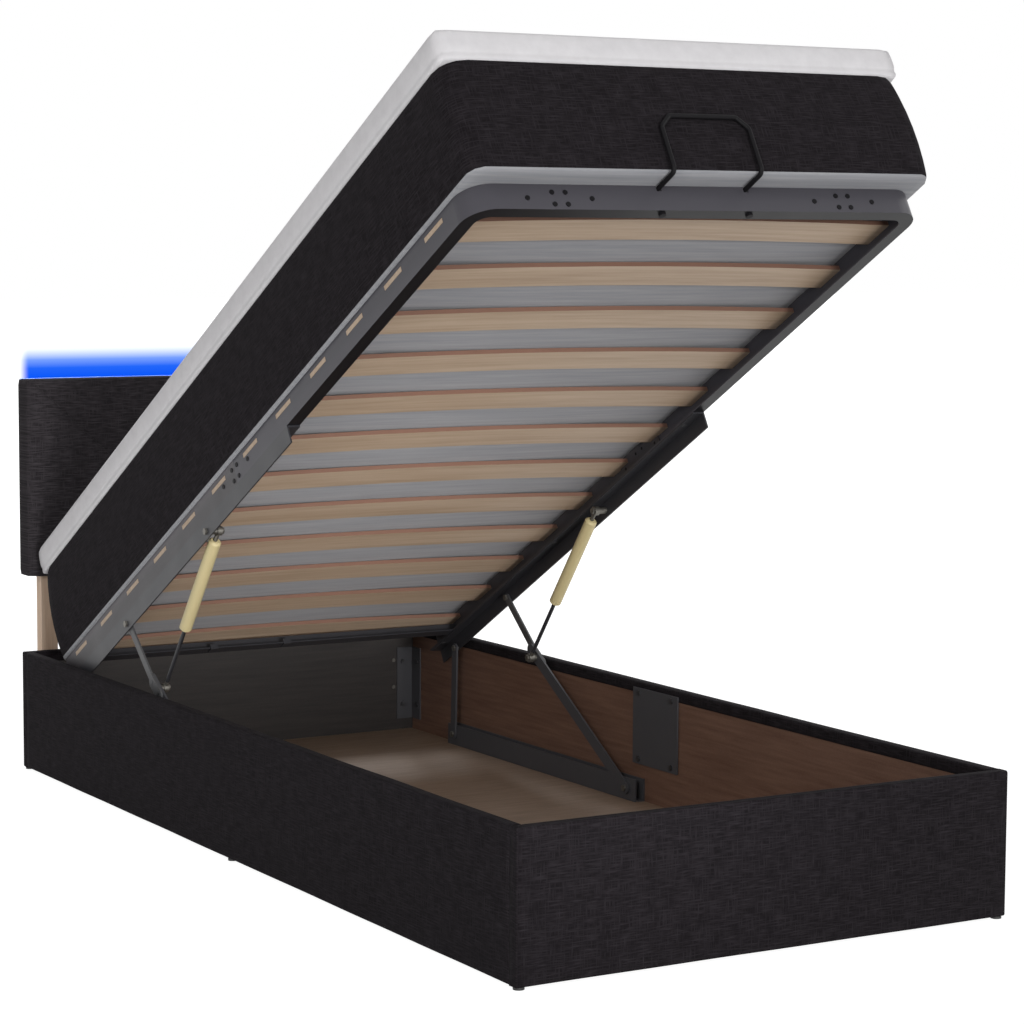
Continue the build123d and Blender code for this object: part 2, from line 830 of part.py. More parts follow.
def splice_bolts():
    """Round heads outside and short shanks through the web and its plate."""
    side_face = frame_half
    inner = frame_half - web_thickness - plate_thickness
    shanks = side_splice_pins(inner, side_face, bolt_radius)
    heads = side_splice_pins(side_face, side_face + splice_head_height, splice_head_radius)
    front_face = -frame_reach
    inner_front = front_face + web_thickness + plate_thickness
    shanks += front_splice_pins(front_face, inner_front, bolt_radius)
    heads += front_splice_pins(front_face - splice_head_height, front_face, splice_head_radius)
    bolts = [shank + head for shank, head in zip(shanks, heads)]
    return bolts + [mirror(bolt, Plane.YZ) for bolt in bolts]


def splice_plates():
    """Plates inside the web over the four seams, with the holes of their bolts."""
    low = splice_line - splice_plate_height / 2
    high = splice_line + splice_plate_height / 2
    half = splice_plate_length / 2
    outer = frame_half - web_thickness
    side = block(outer - plate_thickness, outer, -side_splice - half, -side_splice + half,
                 low, high)
    front_face = -frame_reach + web_thickness
    front = block(front_splice_distance - half, front_splice_distance + half,
                  front_face, front_face + plate_thickness, low, high)
    side = side - slat_slots()
    plates = [side - splice_holes(), front - splice_holes()]
    return plates + [mirror(plate, Plane.YZ) for plate in plates]


def rail_bolt_rows():
    return [-(rail_start + (rail_reach - rail_start) * share) for share in rail_bolt_shares]


def rail_bolt_line():
    return frame_half - rail_bolt_inset


def rail_bolt_holes():
    radius = bolt_radius + bolt_hole_clearance
    low = -web_height - rail_thickness - overrun
    high = -web_height + web_thickness + overrun
    right = [pin_up(rail_bolt_line(), y, low, high, radius) for y in rail_bolt_rows()]
    return right + [mirror(hole, Plane.YZ) for hole in right]


def upper_rail():
    """Angle bolted under the side flange, its leg hanging down flush with the web, right."""
    y0 = -rail_reach
    y1 = -rail_start
    high = -web_height
    shelf = block(frame_half - flange_width, frame_half, y0, y1, high - rail_thickness, high)
    leg = block(rail_leg_inner, rail_leg_outer, y0, y1, high - rail_leg, high)
    rail = platform_rest * (shelf + leg - rail_bolt_holes())
    for point in (arm_top, strut_top):
        rail = rail - pin_across(point, rail_leg_inner - overrun, rail_leg_outer + overrun,
                                 pivot_bolt / 2 + bolt_hole_clearance)
    return rail


def upper_rail_bolts():
    low = -web_height - rail_thickness
    high = -web_height + web_thickness
    bolts = []
    for y in rail_bolt_rows():
        shank = pin_up(rail_bolt_line(), y, low, high, bolt_radius)
        head = hex_up(rail_bolt_line(), y, low - bolt_head_height, low, bolt_head_radius)
        nut = hex_up(rail_bolt_line(), y, high, high + bolt_head_height, bolt_head_radius)
        bolts.append(shank + head + nut)
    return bolts


def rear_bar():
    """Angle across the back of the frame, between the side rails."""
    reach = frame_half - web_thickness
    back = -back_bar_place
    low = -web_height
    high = -slat_end_drop - slat_thickness
    web = block(-reach, reach, back - web_thickness, back, low + web_thickness, high)
    inner = frame_half - flange_width
    flange = block(-inner, inner, back - flange_width, back, low, low + web_thickness)
    return web + flange


def rear_clips():
    """Small bent clips on the back bar's flange."""
    half = clip_width / 2
    low = -web_height
    clips = []
    for x in clip_places:
        edge = -back_bar_place - flange_width
        foot = block(x - half, x + half, edge, edge + clip_width, low - web_thickness, low)
        lip = block(x - half, x + half, edge - web_thickness, edge, low - web_thickness, low + clip_height)
        clips.append(foot + lip)
    return clips


def frame_piece(x0, x1, y0, y1):
    return frame_shell() & block(x0, x1, y0, y1, -web_height, 0)


def soft_block(width, length, thickness, corners, bow):
    """A soft slab on its own base plane: bowed sides and drawn-in edges, from rounded outlines."""
    low_corner, top_corner = corners
    sections = []
    for share in edge_level_shares:
        away = abs(2 * share - 1)
        inset = bow * away ** 2 + edge_draw * away ** edge_draw_power
        corner = low_corner + (top_corner - low_corner) * share - inset
        outline = RectangleRounded(width - 2 * inset, length - 2 * inset, corner)
        sections.append(Plane.XY.offset(share * thickness) * outline)
    return sections


def mattress():
    corners = (mattress_low_corner, mattress_top_corner)
    sections = soft_block(mattress_width, mattress_length, mattress_thickness, corners, side_bow)
    return Pos(0, -mattress_length / 2, 0) * loft(sections, ruled=True)


def topper():
    """Topper with a low crown."""
    width = mattress_width - 2 * topper_inset
    length = mattress_length - 2 * topper_inset
    rise = topper_thickness - topper_crown
    sections = soft_block(width, length, rise, (topper_corner, topper_corner), topper_side_bow)
    crown_width = width - 2 * topper_crown_inset
    crown = RectangleRounded(crown_width, length - 2 * topper_crown_inset, topper_crown_corner)
    sections.append(Plane.XY.offset(topper_thickness) * crown)
    return Pos(0, -mattress_length / 2, mattress_thickness) * loft(sections, ruled=True)


def gather(shapes):
    """Several pieces of one node as one compound."""
    solids = []
    for shape in shapes:
        solids.extend(shape.solids())
    return Compound(children=solids)


def on_both(shapes):
    return gather(list(shapes) + [mirror(shape, Plane.YZ) for shape in shapes])


def lifted(shapes):
    """Pieces of the platform, placed as it stands lifted."""
    return gather([platform_rest * shape for shape in shapes])


def sided(name, shape):
    """A right-hand piece and its left-hand twin as two nodes."""
    return {name + "_right": shape, name + "_left": mirror(shape, Plane.YZ)}


def base_nodes():
    nodes = {"glides": gather(glides())}
    nodes.update(sided("side_board_foot", side_board(-side_end, 0)))
    nodes.update(sided("side_board_head", side_board(0, side_end)))
    nodes["foot_board"] = end_board()
    nodes["head_board"] = mirror(end_board(), Plane.XZ) - leg_bolt_holes()
    nodes.update(sided("side_cover", side_cover()))
    nodes["foot_cover"] = end_cover()
    nodes["head_cover"] = mirror(end_cover(), Plane.XZ) - leg_bolt_holes()
    angle = corner_bracket()
    nodes["corner_angles"] = on_both([angle, mirror(angle, Plane.XZ)])
    nodes["joint_plates"] = on_both([joint_plate()])
    heads = corner_screws()
    far = [mirror(head, Plane.XZ) for head in heads]
    nodes["base_screws"] = on_both(heads + far + joint_screws() + base_rail_screws())
    inner_end = half_length - cover_thickness - board_thickness - floor_gap
    nodes["storage_floor_foot"] = storage_floor(-inner_end, 0)
    nodes["storage_floor_head"] = storage_floor(0, inner_end)
    nodes["floor_battens"] = gather(floor_battens())
    nodes.update(sided("base_rail", base_rail()))
    nodes["foot_pivots"] = on_both([foot_pivot(arm_foot), foot_pivot(rear_foot)])
    return nodes


def headboard_nodes():
    nodes = {"headboard_core": headboard_core(), "headboard_cover": headboard_cover()}
    nodes["headboard_legs"] = on_both([headboard_leg()])
    nodes["leg_packers"] = on_both([leg_packer()])
    nodes["leg_bolts"] = on_both(leg_bolts())
    nodes["light_profile"] = light_profile()
    nodes["light_diffuser"] = light_diffuser()
    return nodes


def lift_nodes():
    nodes = {}
    nodes.update(sided("lower_arm", lower_arm()))
    nodes.update(sided("arm_link", arm_link()))
    nodes["arm_rivets"] = on_both(rivets())
    nodes.update(sided("rear_link", rear_link()))
    nodes["rear_link_pins"] = on_both([rear_link_pin()])
    nodes.update(sided("strut_cylinder", strut_cylinder()))
    nodes["strut_top_eyes"] = on_both([strut_top_eye()])
    nodes.update(sided("strut_rod", strut_rod()))
    nodes["strut_foot_eyes"] = on_both([strut_foot_eye()])
    nodes["knee_pins"] = on_both([knee_pin()])
    return nodes


def platform_nodes():
    nodes = {}
    nodes.update(sided("upper_rail", upper_rail()))
    nodes["upper_rail_bolts"] = on_both([platform_rest * bolt for bolt in upper_rail_bolts()])
    nodes["upper_pivots"] = on_both([arm_top_bolt(), strut_top_bolt()])
    nodes.update(sided("side_rail", platform_rest * frame_piece(0, frame_half, -side_splice, -frame_start)))
    corner = frame_piece(front_splice_distance, frame_half, -frame_reach, -side_splice)
    nodes.update(sided("corner_rail", platform_rest * corner))
    front = frame_piece(-front_splice_distance, front_splice_distance, -frame_reach, -side_splice)
    nodes["front_bar"] = platform_rest * front
    nodes["back_bar"] = platform_rest * rear_bar()
    nodes["back_bar_clips"] = lifted(rear_clips())
    nodes["splice_plates"] = lifted(splice_plates())
    nodes["splice_bolts"] = lifted(splice_bolts())
    nodes["slats"] = lifted(slats())
    nodes["handle"] = platform_rest * handle()
    nodes["handle_bolts"] = lifted(handle_bolts())
    nodes["mattress"] = platform_rest * mattress()
    nodes["mattress_topper"] = platform_rest * topper()
    return nodes


def print_lift():
    """The joint values that the lift's two poses give."""
    print("platform closed back", closed_back)
    print("arm foot", arm_foot, "arm top", arm_top, "swing", arm_swing)
    print("rear foot", rear_foot, "rear top", rear_top, "swing", rear_swing)
    print("knee", knee, "closed", knee_closed)
    print("strut top", strut_top, "lean", heading(strut_top, knee), "swing", strut_swing)
    print("strut lengths", strut_open_length, strut_closed_length)


os.makedirs("parts", exist_ok=True)
print_lift()
for group in (base_nodes(), headboard_nodes(), lift_nodes(), platform_nodes()):
    for name, shape in group.items():
        export_step(shape, "parts/" + name + ".step")
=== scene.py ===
# %% [markdown]
# # A single bed that lifts for storage
# This lesson dresses a finished set of rigid parts: a box base, a padded headboard and a slatted
# platform on gas struts. The hard parts already have their true shapes, so they only need good
# finishes. The soft ones, fabric, padding and mattress, are modelled here.

# %% Load the rigid parts
import math

import bmesh
import bpy
from mathutils import Matrix, Vector, noise


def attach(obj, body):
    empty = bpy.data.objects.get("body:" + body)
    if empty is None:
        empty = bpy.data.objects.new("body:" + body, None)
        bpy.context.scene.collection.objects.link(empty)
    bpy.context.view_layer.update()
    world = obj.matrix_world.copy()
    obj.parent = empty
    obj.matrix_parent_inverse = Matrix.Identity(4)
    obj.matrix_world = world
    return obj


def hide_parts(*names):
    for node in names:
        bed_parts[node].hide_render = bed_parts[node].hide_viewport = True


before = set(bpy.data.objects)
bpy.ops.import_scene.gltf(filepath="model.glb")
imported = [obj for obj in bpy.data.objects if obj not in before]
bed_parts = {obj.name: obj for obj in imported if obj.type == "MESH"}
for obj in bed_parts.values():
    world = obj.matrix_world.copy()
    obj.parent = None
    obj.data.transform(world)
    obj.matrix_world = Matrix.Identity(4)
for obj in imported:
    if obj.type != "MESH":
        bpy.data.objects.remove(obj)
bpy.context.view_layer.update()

# %% [markdown]
# ## Camera
# The picture was taken from the foot end, low and a little to the left, with a long lens, so the
# bed's parallel edges hardly draw together. Three angles and a focal length describe that view.
# Building the rotation from them keeps the numbers readable, which a look-at target would not.

# %% Put things in the scene


def put_in_scene(name, data):
    """An object that shows data. Blender renders only what a collection holds, so it is linked."""
    thing = bpy.data.objects.new(name, data)
    bpy.context.scene.collection.objects.link(thing)
    return thing


print("objects go into:", bpy.context.scene.collection.name)

# %% Camera
camera_place = Vector((-2.560, -4.573, 1.113))
camera_yaw = math.radians(30.36)
camera_pitch = math.radians(-5.55)
camera_roll = math.radians(0.27)
camera_lens = 100.4

ahead = Vector((math.sin(camera_yaw) * math.cos(camera_pitch),
                math.cos(camera_yaw) * math.cos(camera_pitch), math.sin(camera_pitch)))
level_right = Vector((math.cos(camera_yaw), -math.sin(camera_yaw), 0))
level_up = level_right.cross(ahead)
right = level_right * math.cos(camera_roll) + level_up * math.sin(camera_roll)
up = level_up * math.cos(camera_roll) - level_right * math.sin(camera_roll)
turn = Matrix((right, up, -ahead)).transposed()

lens = bpy.data.cameras.new("foot_end_camera")
lens.lens = camera_lens
camera = put_in_scene("foot_end_camera", lens)
camera.matrix_world = Matrix.Translation(camera_place) @ turn.to_4x4()
bpy.context.scene.camera = camera
print("camera at", tuple(round(v, 3) for v in camera_place), "lens", camera_lens)

# %% [markdown]
# ## Material graphs
# Every finish below is a small node graph. Adding nodes by hand takes many lines, so this helper
# adds one node, sets its values and links its inputs in a single call. That leaves each finish
# short enough to read like a recipe.

# %% Node helper
# The colour Mix node numbers its sockets: its factor, its two colours and its result.
MIX_FACTOR, MIX_FIRST, MIX_SECOND, MIX_RESULT = 0, 6, 7, 2


class Finish:
    """A material whose nodes are added and linked by short calls."""

    def __init__(self, name, colour, roughness, metallic=0.0):
        self.material = bpy.data.materials.new(name)
        self.material.use_nodes = True
        self.tree = self.material.node_tree
        self.tree.nodes.clear()
        self.shader = self.tree.nodes.new("ShaderNodeBsdfPrincipled")
        self.shader.inputs["Base Color"].default_value = (*colour, 1)
        self.shader.inputs["Roughness"].default_value = roughness
        self.shader.inputs["Metallic"].default_value = metallic
        self.output = self.tree.nodes.new("ShaderNodeOutputMaterial")
        self.surface_from(self.shader.outputs[0])

    def add(self, kind, links=(), **values):
        """One node: links are (input name or number, socket) pairs, values are its settings."""
        node = self.tree.nodes.new("ShaderNode" + kind)
        for name, value in values.items():
            if hasattr(node, name):
                setattr(node, name, value)
            else:
                node.inputs[name.replace("_", " ").title()].default_value = value
        for name, socket in links:
            self.tree.links.new(socket, node.inputs[name])
        return node

    def place(self, source="Object", stretch=(1, 1, 1)):
        """Coordinates in metres, stretched per axis."""
        where = self.add("TexCoord").outputs[source]
        return self.add("Mapping", [("Vector", where)], scale=stretch).outputs["Vector"]

    def cloud(self, where, scale, detail=3.0, roughness=0.55):
        """Soft noise from 0 to 1, with about as many patches per metre as its scale."""
        texture = self.add("TexNoise", [("Vector", where)], scale=scale, detail=detail,
                           roughness=roughness)
        return texture.outputs["Fac"]

    def maths(self, operation, a, b=0.5):
        """One sum of two values, each a number or a socket."""
        node = self.add("Math", operation=operation)
        for socket, value in zip(node.inputs, (a, b)):
            if isinstance(value, (int, float)):
                socket.default_value = value
            else:
                self.tree.links.new(value, socket)
        return node.outputs[0]

    def mixed(self, a, share_a, b, share_b):
        """Two patterns added, each by its share."""
        return self.maths("ADD", self.maths("MULTIPLY", a, share_a),
                          self.maths("MULTIPLY", b, share_b))

    def ramp(self, factor, stops):
        """Colours along a factor: stops are (position, colour) pairs."""
        node = self.add("ValToRGB", [("Fac", factor)])
        while len(node.color_ramp.elements) < len(stops):
            node.color_ramp.elements.new(0.5)
        for element, (position, colour) in zip(node.color_ramp.elements, stops):
            element.position = position
            element.color = (*colour, 1)
        return node.outputs["Color"]

    def tones(self, factor, dark, light, start=0.3):
        """Dark below start, light above 1 - start and a soft change between."""
        return self.ramp(factor, [(start, dark), (1 - start, light)])

    def blend_colours(self, factor, a, b):
        """Colour a where the factor is 0 and colour b where it is 1."""
        node = self.add("Mix", data_type="RGBA")
        for number, value in ((MIX_FACTOR, factor), (MIX_FIRST, a), (MIX_SECOND, b)):
            if isinstance(value, bpy.types.NodeSocket):
                self.tree.links.new(value, node.inputs[number])
            else:
                node.inputs[number].default_value = (*value, 1)
        return node.outputs[MIX_RESULT]

    def facing(self, direction):
        """How far a face looks along a direction, from -1 to 1."""
        normal = self.add("TexCoord").outputs["Normal"]
        turned = self.add("VectorMath", [(0, normal)], operation="DOT_PRODUCT")
        turned.inputs[1].default_value = direction
        return turned.outputs["Value"]

    def squarely_facing(self, direction, least=0.7):
        """1 on faces that look along a direction or against it, 0 elsewhere."""
        return self.maths("GREATER_THAN", self.maths("ABSOLUTE", self.facing(direction)), least)

    def along(self, direction, start):
        """Distance from a start point, measured along a direction."""
        where = self.add("TexCoord").outputs["Object"]
        reached = self.add("VectorMath", [(0, where)], operation="SUBTRACT")
        reached.inputs[1].default_value = start
        measured = self.add("VectorMath", [(0, reached.outputs[0])], operation="DOT_PRODUCT")
        measured.inputs[1].default_value = direction
        return measured.outputs["Value"]

    def surface_from(self, socket):
        """What the whole material shows. A second link takes the first one's place."""
        self.tree.links.new(socket, self.output.inputs["Surface"])

    def colour_from(self, socket):
        self.tree.links.new(socket, self.shader.inputs["Base Color"])

    def roughness_from(self, factor, low, high):
        node = self.add("MapRange", [("Value", factor)], to_min=low, to_max=high)
        self.tree.links.new(node.outputs[0], self.shader.inputs["Roughness"])

    def bump_from(self, height, strength, depth):
        node = self.add("Bump", [("Height", height)], strength=strength, distance=depth)
        self.tree.links.new(node.outputs[0], self.shader.inputs["Normal"])


def tinted(colour, share):
    """A colour made lighter or darker, channel by channel."""
    return tuple(min(1, channel * share) for channel in colour)


print("node calls:", [name for name in vars(Finish) if not name.startswith("_")])

# %% [markdown]
# ## Charcoal linen
# The base, headboard and mattress border wear a coarse dark weave. Its threads swell here and
# there, which shows as short pale and dark streaks in both directions. Two noises, each drawn out
# along one thread direction, give those streaks, and two crossed waves give the weave's relief.
# The cloth's own UVs are in metres, so every panel shows threads of one size.

# %% Linen finish
slub_length_share = 0.075
slub_scale = 420.0
patch_scale = 34.0
patch_share = 0.22
thread_scale = 170.0
weave_relief = 0.0006


def linen(name, dark, pale, upright_drop=0.045):
    """Woven cloth with slubs both ways. upright_drop holds the upright ones back."""
    cloth = Finish(name, dark, 0.92)
    level_threads = cloth.place("UV", (slub_length_share, 1, 1))
    upright_threads = cloth.place("UV", (1, slub_length_share, 1))
    weft = cloth.cloud(level_threads, slub_scale, 2.5, 0.6)
    warp = cloth.cloud(upright_threads, slub_scale, 2.5, 0.6)
    patches = cloth.cloud(cloth.place("UV"), patch_scale, 3.0)
    threads = cloth.maths("MAXIMUM", weft, cloth.maths("SUBTRACT", warp, upright_drop))
    threads = cloth.maths("ADD", threads, cloth.maths("MULTIPLY", patches, patch_share))
    middle = tuple((d + p) / 2 for d, p in zip(dark, pale))
    cloth.colour_from(cloth.ramp(threads, [(0.53, dark), (0.68, middle), (0.86, pale)]))
    weave, cross = [cloth.add("TexWave", [("Vector", cloth.place("UV"))], scale=thread_scale,
                              bands_direction=bands).outputs["Fac"] for bands in ("X", "Y")]
    relief = cloth.maths("MULTIPLY", weave, cross)
    relief = cloth.maths("ADD", cloth.maths("MULTIPLY", threads, 2.0), relief)
    cloth.bump_from(relief, 0.35, weave_relief)
    cloth.shader.inputs["Sheen Weight"].default_value = 0.01
    cloth.shader.inputs["Sheen Roughness"].default_value = 0.6
    cloth.shader.inputs["Specular IOR Level"].default_value = 0.04
    return cloth.material


charcoal_linen = linen("charcoal_linen", (0.0098, 0.0083, 0.0096), (0.0285, 0.0245, 0.0282))
# A lighter copy of the charcoal linen: painted light that lifts the headboard out of the mattress's
# shade.
headboard_linen = linen("headboard_linen", (0.0205, 0.0180, 0.0200), (0.058, 0.0515, 0.0562),
                        # Its last number holds its upright streaks back more.
                        0.085)
print("linen streaks about", round(1000 / slub_scale, 1), "mm thick")

# %% [markdown]
# ## Ticking and topper cloth
# The mattress's underside is a plain grey cloth and the topper has a smooth, nearly white knitted
# cover. Both are quiet, so their interest is in faint streaks, a fine knit relief and soft sheen.
# One recipe serves both, with its own colours, streaks and relief for each.

# %% Plain cloths


def plain_cloth(name, shade, light, streak, relief):
    """Knitted cloth: streak is the stretch per axis that draws its faint streaks out."""
    cloth = Finish(name, light, 0.85)
    drawn = cloth.cloud(cloth.place("Object", streak), 38.0, 4.0, 0.6)
    knit = cloth.cloud(cloth.place("Object"), 900.0, 1.0)
    cloth.colour_from(cloth.tones(drawn, shade, light))
    cloth.bump_from(cloth.maths("ADD", knit, drawn), 0.25, relief)
    cloth.shader.inputs["Sheen Weight"].default_value = 0.1
    cloth.shader.inputs["Specular IOR Level"].default_value = 0.25
    return cloth.material


underside_cloth = plain_cloth("underside_cloth", (0.255, 0.26, 0.28), (0.34, 0.34, 0.355),
                              (0.12, 3, 3), 0.0005)
topper_cloth = plain_cloth("topper_cloth", (0.66, 0.645, 0.66), (0.72, 0.705, 0.72),
                           (1, 1, 1), 0.0004)
print("plain cloths:", underside_cloth.name, topper_cloth.name)

# %% [markdown]
# ## Steel
# Powder-coated steel has a fine orange-peel skin and slightly worn, brighter edges. Pins, pivots,
# screws and rivets are zinc plated, and the bolts of the splices and the handle are black. Light
# is painted on the platform's rails: painted shade darkens their flat flanges and a painted
# highlight lightens the top of the web. Painting that by hand would need an image, so height and
# the way a face looks mix those shades in.

# %% Lifted platform's directions
open_tilt = math.radians(29.7)
platform_back = Vector((0, 0.877, 0.2376))
towards_foot = Vector((0, -math.cos(open_tilt), math.sin(open_tilt)))
platform_up = Vector((0, math.sin(open_tilt), math.cos(open_tilt)))
rail_height = 0.044
# The rail web's painted highlight starts at the first height and is full at the second.
web_painted_shade_below = -rail_height * 0.62
web_painted_highlight_above = -rail_height * 0.06
print("platform leans", round(math.degrees(open_tilt), 1), "degrees")

# %% Steel finishes
skin_depth = 0.0002


def coated_steel(name, colour, roughness, rub=1.35, flange_painted_shade=1.0, web_painted_highlight=1.0, gloss=0.3):
    """Powder coat: fine skin, soft patches, rubbed edges. Shares paint shade and highlight on
    rails.
    """
    steel = Finish(name, colour, roughness)
    steel.shader.inputs["Specular IOR Level"].default_value = gloss
    patches = steel.cloud(steel.place(), 14.0, 4.0)
    skin = steel.cloud(steel.place(), 700.0, 1.0)
    edge = steel.add("NewGeometry").outputs["Pointiness"]
    worn = steel.ramp(edge, [(0.49, (0, 0, 0)), (0.56, (1, 1, 1))])
    shade = steel.tones(patches, tinted(colour, 0.85), tinted(colour, 1.12))
    shade = steel.blend_colours(worn, shade, tinted(colour, rub))
    # Painted light on a rail: a painted highlight towards the web's top, painted shade on flanges.
    if flange_painted_shade != 1.0:
        height = steel.along(platform_up, platform_back)
        painted_highlight = steel.add("MapRange", [("Value", height)], from_min=web_painted_shade_below,
                           from_max=web_painted_highlight_above)
        painted_highlight = steel.maths("POWER", painted_highlight.outputs[0], 1.6)
        shade = steel.blend_colours(painted_highlight, shade, tinted(colour, web_painted_highlight))
        # Painted shade on the flat flanges, the faces that look along or against platform_up.
        flat = steel.squarely_facing(platform_up)
        shade = steel.blend_colours(flat, shade, tinted(colour, flange_painted_shade))
    steel.colour_from(shade)
    steel.roughness_from(patches, roughness - 0.08, roughness + 0.1)
    steel.bump_from(skin, 0.15, skin_depth)
    return steel.material


def plated_steel(name, colour, roughness):
    """Zinc plate: cloudy, with fine turning marks."""
    steel = Finish(name, colour, roughness, 0.85)
    clouds = steel.cloud(steel.place(), 90.0, 4.0)
    marks = steel.cloud(steel.place("Object", (1, 1, 12)), 400.0, 2.0)
    steel.colour_from(steel.tones(clouds, tinted(colour, 0.75), colour))
    steel.roughness_from(clouds, roughness - 0.1, roughness + 0.12)
    steel.bump_from(marks, 0.2, skin_depth)
    return steel.material


# For the rails, the last two numbers set painted shade on flanges and a painted highlight on webs.
rail_grey = coated_steel("rail_grey", (0.035, 0.0325, 0.035), 0.46, 1.35, 0.6, 2.9)
bar_grey = coated_steel("bar_grey", (0.052, 0.050, 0.058), 0.32, 1.35, 0.2, 1.25, gloss=0.14)
link_grey = coated_steel("link_grey", (0.058, 0.058, 0.060), 0.45)
black_coat = coated_steel("black_coat", (0.014, 0.014, 0.016), 0.4, 2.2)
handle_black = coated_steel("handle_black", (0.007, 0.0065, 0.0075), 0.5, 1.2, gloss=0.1)
dark_coat = coated_steel("dark_coat", (0.040, 0.040, 0.044), 0.45, 1.6)
zinc = plated_steel("zinc", (0.20, 0.19, 0.17), 0.5)
dark_zinc = plated_steel("dark_zinc", (0.10, 0.10, 0.105), 0.42)
cream_coat = coated_steel("cream_coat", (0.52, 0.44, 0.24), 0.4, 1.1)
print("steel finishes ready")

# %% [markdown]
# ## Wood
# The slats are bent birch ply, pale on the face with red-brown glue lines on the sides, and the
# legs are pine. Grain is noise drawn out along the fibres over broader rings. The slat's side
# colour could be a second material on some faces, but a rigid part's mesh isn't changed here, so
# the finish itself asks which way a face looks.

# %% Wood finishes


def grained_wood(name, dark, light, along, ring_scale, roughness):
    """Wood whose grain runs along one axis: along is the stretch per axis."""
    wood = Finish(name, light, roughness)
    fibres = wood.cloud(wood.place("Object", along), 60.0, 5.0, 0.65)
    rings = wood.cloud(wood.place("Object", tuple(0.35 * a for a in along)), ring_scale, 2.0)
    grain = wood.mixed(fibres, 0.6, rings, 0.4)
    face = wood.tones(grain, dark, light, 0.38)
    wood.colour_from(face)
    wood.bump_from(fibres, 0.3, 0.0003)
    wood.roughness_from(grain, roughness - 0.05, roughness + 0.12)
    return wood, face


birch_finish, birch_face = grained_wood("birch_slat", (0.39, 0.28, 0.19), (0.51, 0.39, 0.285),
                                        (0.08, 2.2, 2.2), 30.0, 0.5)
slat_side = birch_finish.squarely_facing(towards_foot)
birch_finish.colour_from(birch_finish.blend_colours(slat_side, birch_face, (0.21, 0.11, 0.075)))
birch = birch_finish.material
pine = grained_wood("pine", (0.60, 0.41, 0.28), (0.80, 0.61, 0.46),
                    (2.2, 2.2, 0.1), 24.0, 0.6)[0].material
print("slat sides face", tuple(round(v, 3) for v in towards_foot))

# %% [markdown]
# ## Board and plastic
# The box and the headboard's core are brown laminated chipboard, with a faint printed grain that
# follows each panel's length. The glides are moulded plastic. The light strip's cover is frosted
# and glows from inside, which an emission colour on the same shader gives without a lamp.

# %% Board and plastic finishes


def chipboard(name, dark, light, grain):
    """Laminated board with a faint printed grain along the panel."""
    board = Finish(name, light, 0.55)
    lines = board.cloud(board.place("Object", grain), 45.0, 5.0, 0.6)
    flecks = board.cloud(board.place(), 260.0, 2.0)
    board.colour_from(board.tones(board.mixed(lines, 0.75, flecks, 0.25), dark, light, 0.36))
    board.bump_from(flecks, 0.2, skin_depth)
    return board.material


def moulded(name, colour, roughness):
    """Moulded plastic with a fine grain."""
    plastic = Finish(name, colour, roughness)
    grain = plastic.cloud(plastic.place(), 500.0, 2.0)
    plastic.colour_from(plastic.tones(grain, tinted(colour, 0.8), colour))
    plastic.bump_from(grain, 0.3, skin_depth)
    return plastic.material


board_brown = (0.115, 0.058, 0.038), (0.180, 0.100, 0.068)
side_board = chipboard("side_board", *board_brown, (3, 0.15, 3))
end_board = chipboard("end_board", *board_brown, (0.15, 3, 3))
# The head board's inner face is painted near black: painted shade where the lifted platform shades
# it.
head_board_painted_shade = chipboard("head_board_painted_shade", (0.016, 0.013, 0.012), (0.030, 0.024, 0.022), (0.15, 3, 3))
floor_board = chipboard("floor_board", (0.20, 0.135, 0.09), (0.29, 0.20, 0.14), (0.2, 2, 2))
glide_plastic = moulded("glide_plastic", (0.02, 0.02, 0.02), 0.6)

lit = Finish("lit_diffuser", (0.5, 0.65, 0.9), 0.5)
frost = lit.cloud(lit.place(), 120.0, 2.0)
lit.colour_from(lit.tones(frost, (0.35, 0.5, 0.85), (0.6, 0.75, 1.0)))
lit.shader.inputs["Emission Color"].default_value = (0.03, 0.16, 1.0, 1)
lit.shader.inputs["Emission Strength"].default_value = 2.0
lit_diffuser = lit.material
print("materials so far:", len(bpy.data.materials))

# %% [markdown]
# ## Dressing the rigid parts
# Each rigid part keeps its shape and takes one finish. Assigning to the object's material slots
# leaves its mesh alone, which matters because the same mesh is what the physics uses.

# %% Finishes on the rigid parts


def pair(name):
    """The names of a left and a right part."""
    return [name + "_left", name + "_right"]


rigid_finishes = [
    (rail_grey, pair("side_rail") + ["splice_plates"]),
    (bar_grey, pair("corner_rail") + ["front_bar"]),
    (link_grey, pair("arm_link")),
    (dark_coat, pair("lower_arm") + pair("rear_link") + pair("base_rail")
     + ["joint_plates", "corner_angles"]),
    (black_coat, pair("upper_rail") + pair("strut_rod") + ["back_bar", "back_bar_clips"]),
    (handle_black, ["handle", "handle_bolts", "splice_bolts"]),
    (dark_zinc, ["base_screws", "upper_rail_bolts", "arm_rivets"]),
    (zinc, ["foot_pivots", "leg_bolts", "rear_link_pins", "upper_pivots", "knee_pins",
            "strut_foot_eyes", "strut_top_eyes", "light_profile"]),
    (cream_coat, pair("strut_cylinder")),
    (birch, ["slats"]),
    (pine, ["headboard_legs", "leg_packers", "floor_battens"]),
    (side_board, pair("side_board_foot") + pair("side_board_head")),
    (end_board, ["foot_board", "headboard_core"]),
    (head_board_painted_shade, ["head_board"]),
    (floor_board, ["storage_floor_foot", "storage_floor_head"]),
    (glide_plastic, ["glides"]),
    (lit_diffuser, ["light_diffuser"]),
]
for finish, names in rigid_finishes:
    for name in names:
        for slot in bed_parts[name].material_slots:
            slot.material = finish
print("dressed", sum(len(names) for finish, names in rigid_finishes), "parts")

# %% [markdown]
# ## Mesh helpers
# The soft pieces are grids and rings of points that a few formulas place. Modelling them by hand
# would lose the link to the rigid parts' sizes, so each is written as points, faces between rows
# or rings, and UVs in metres. These helpers do what every such piece needs.

# %% A piece from points


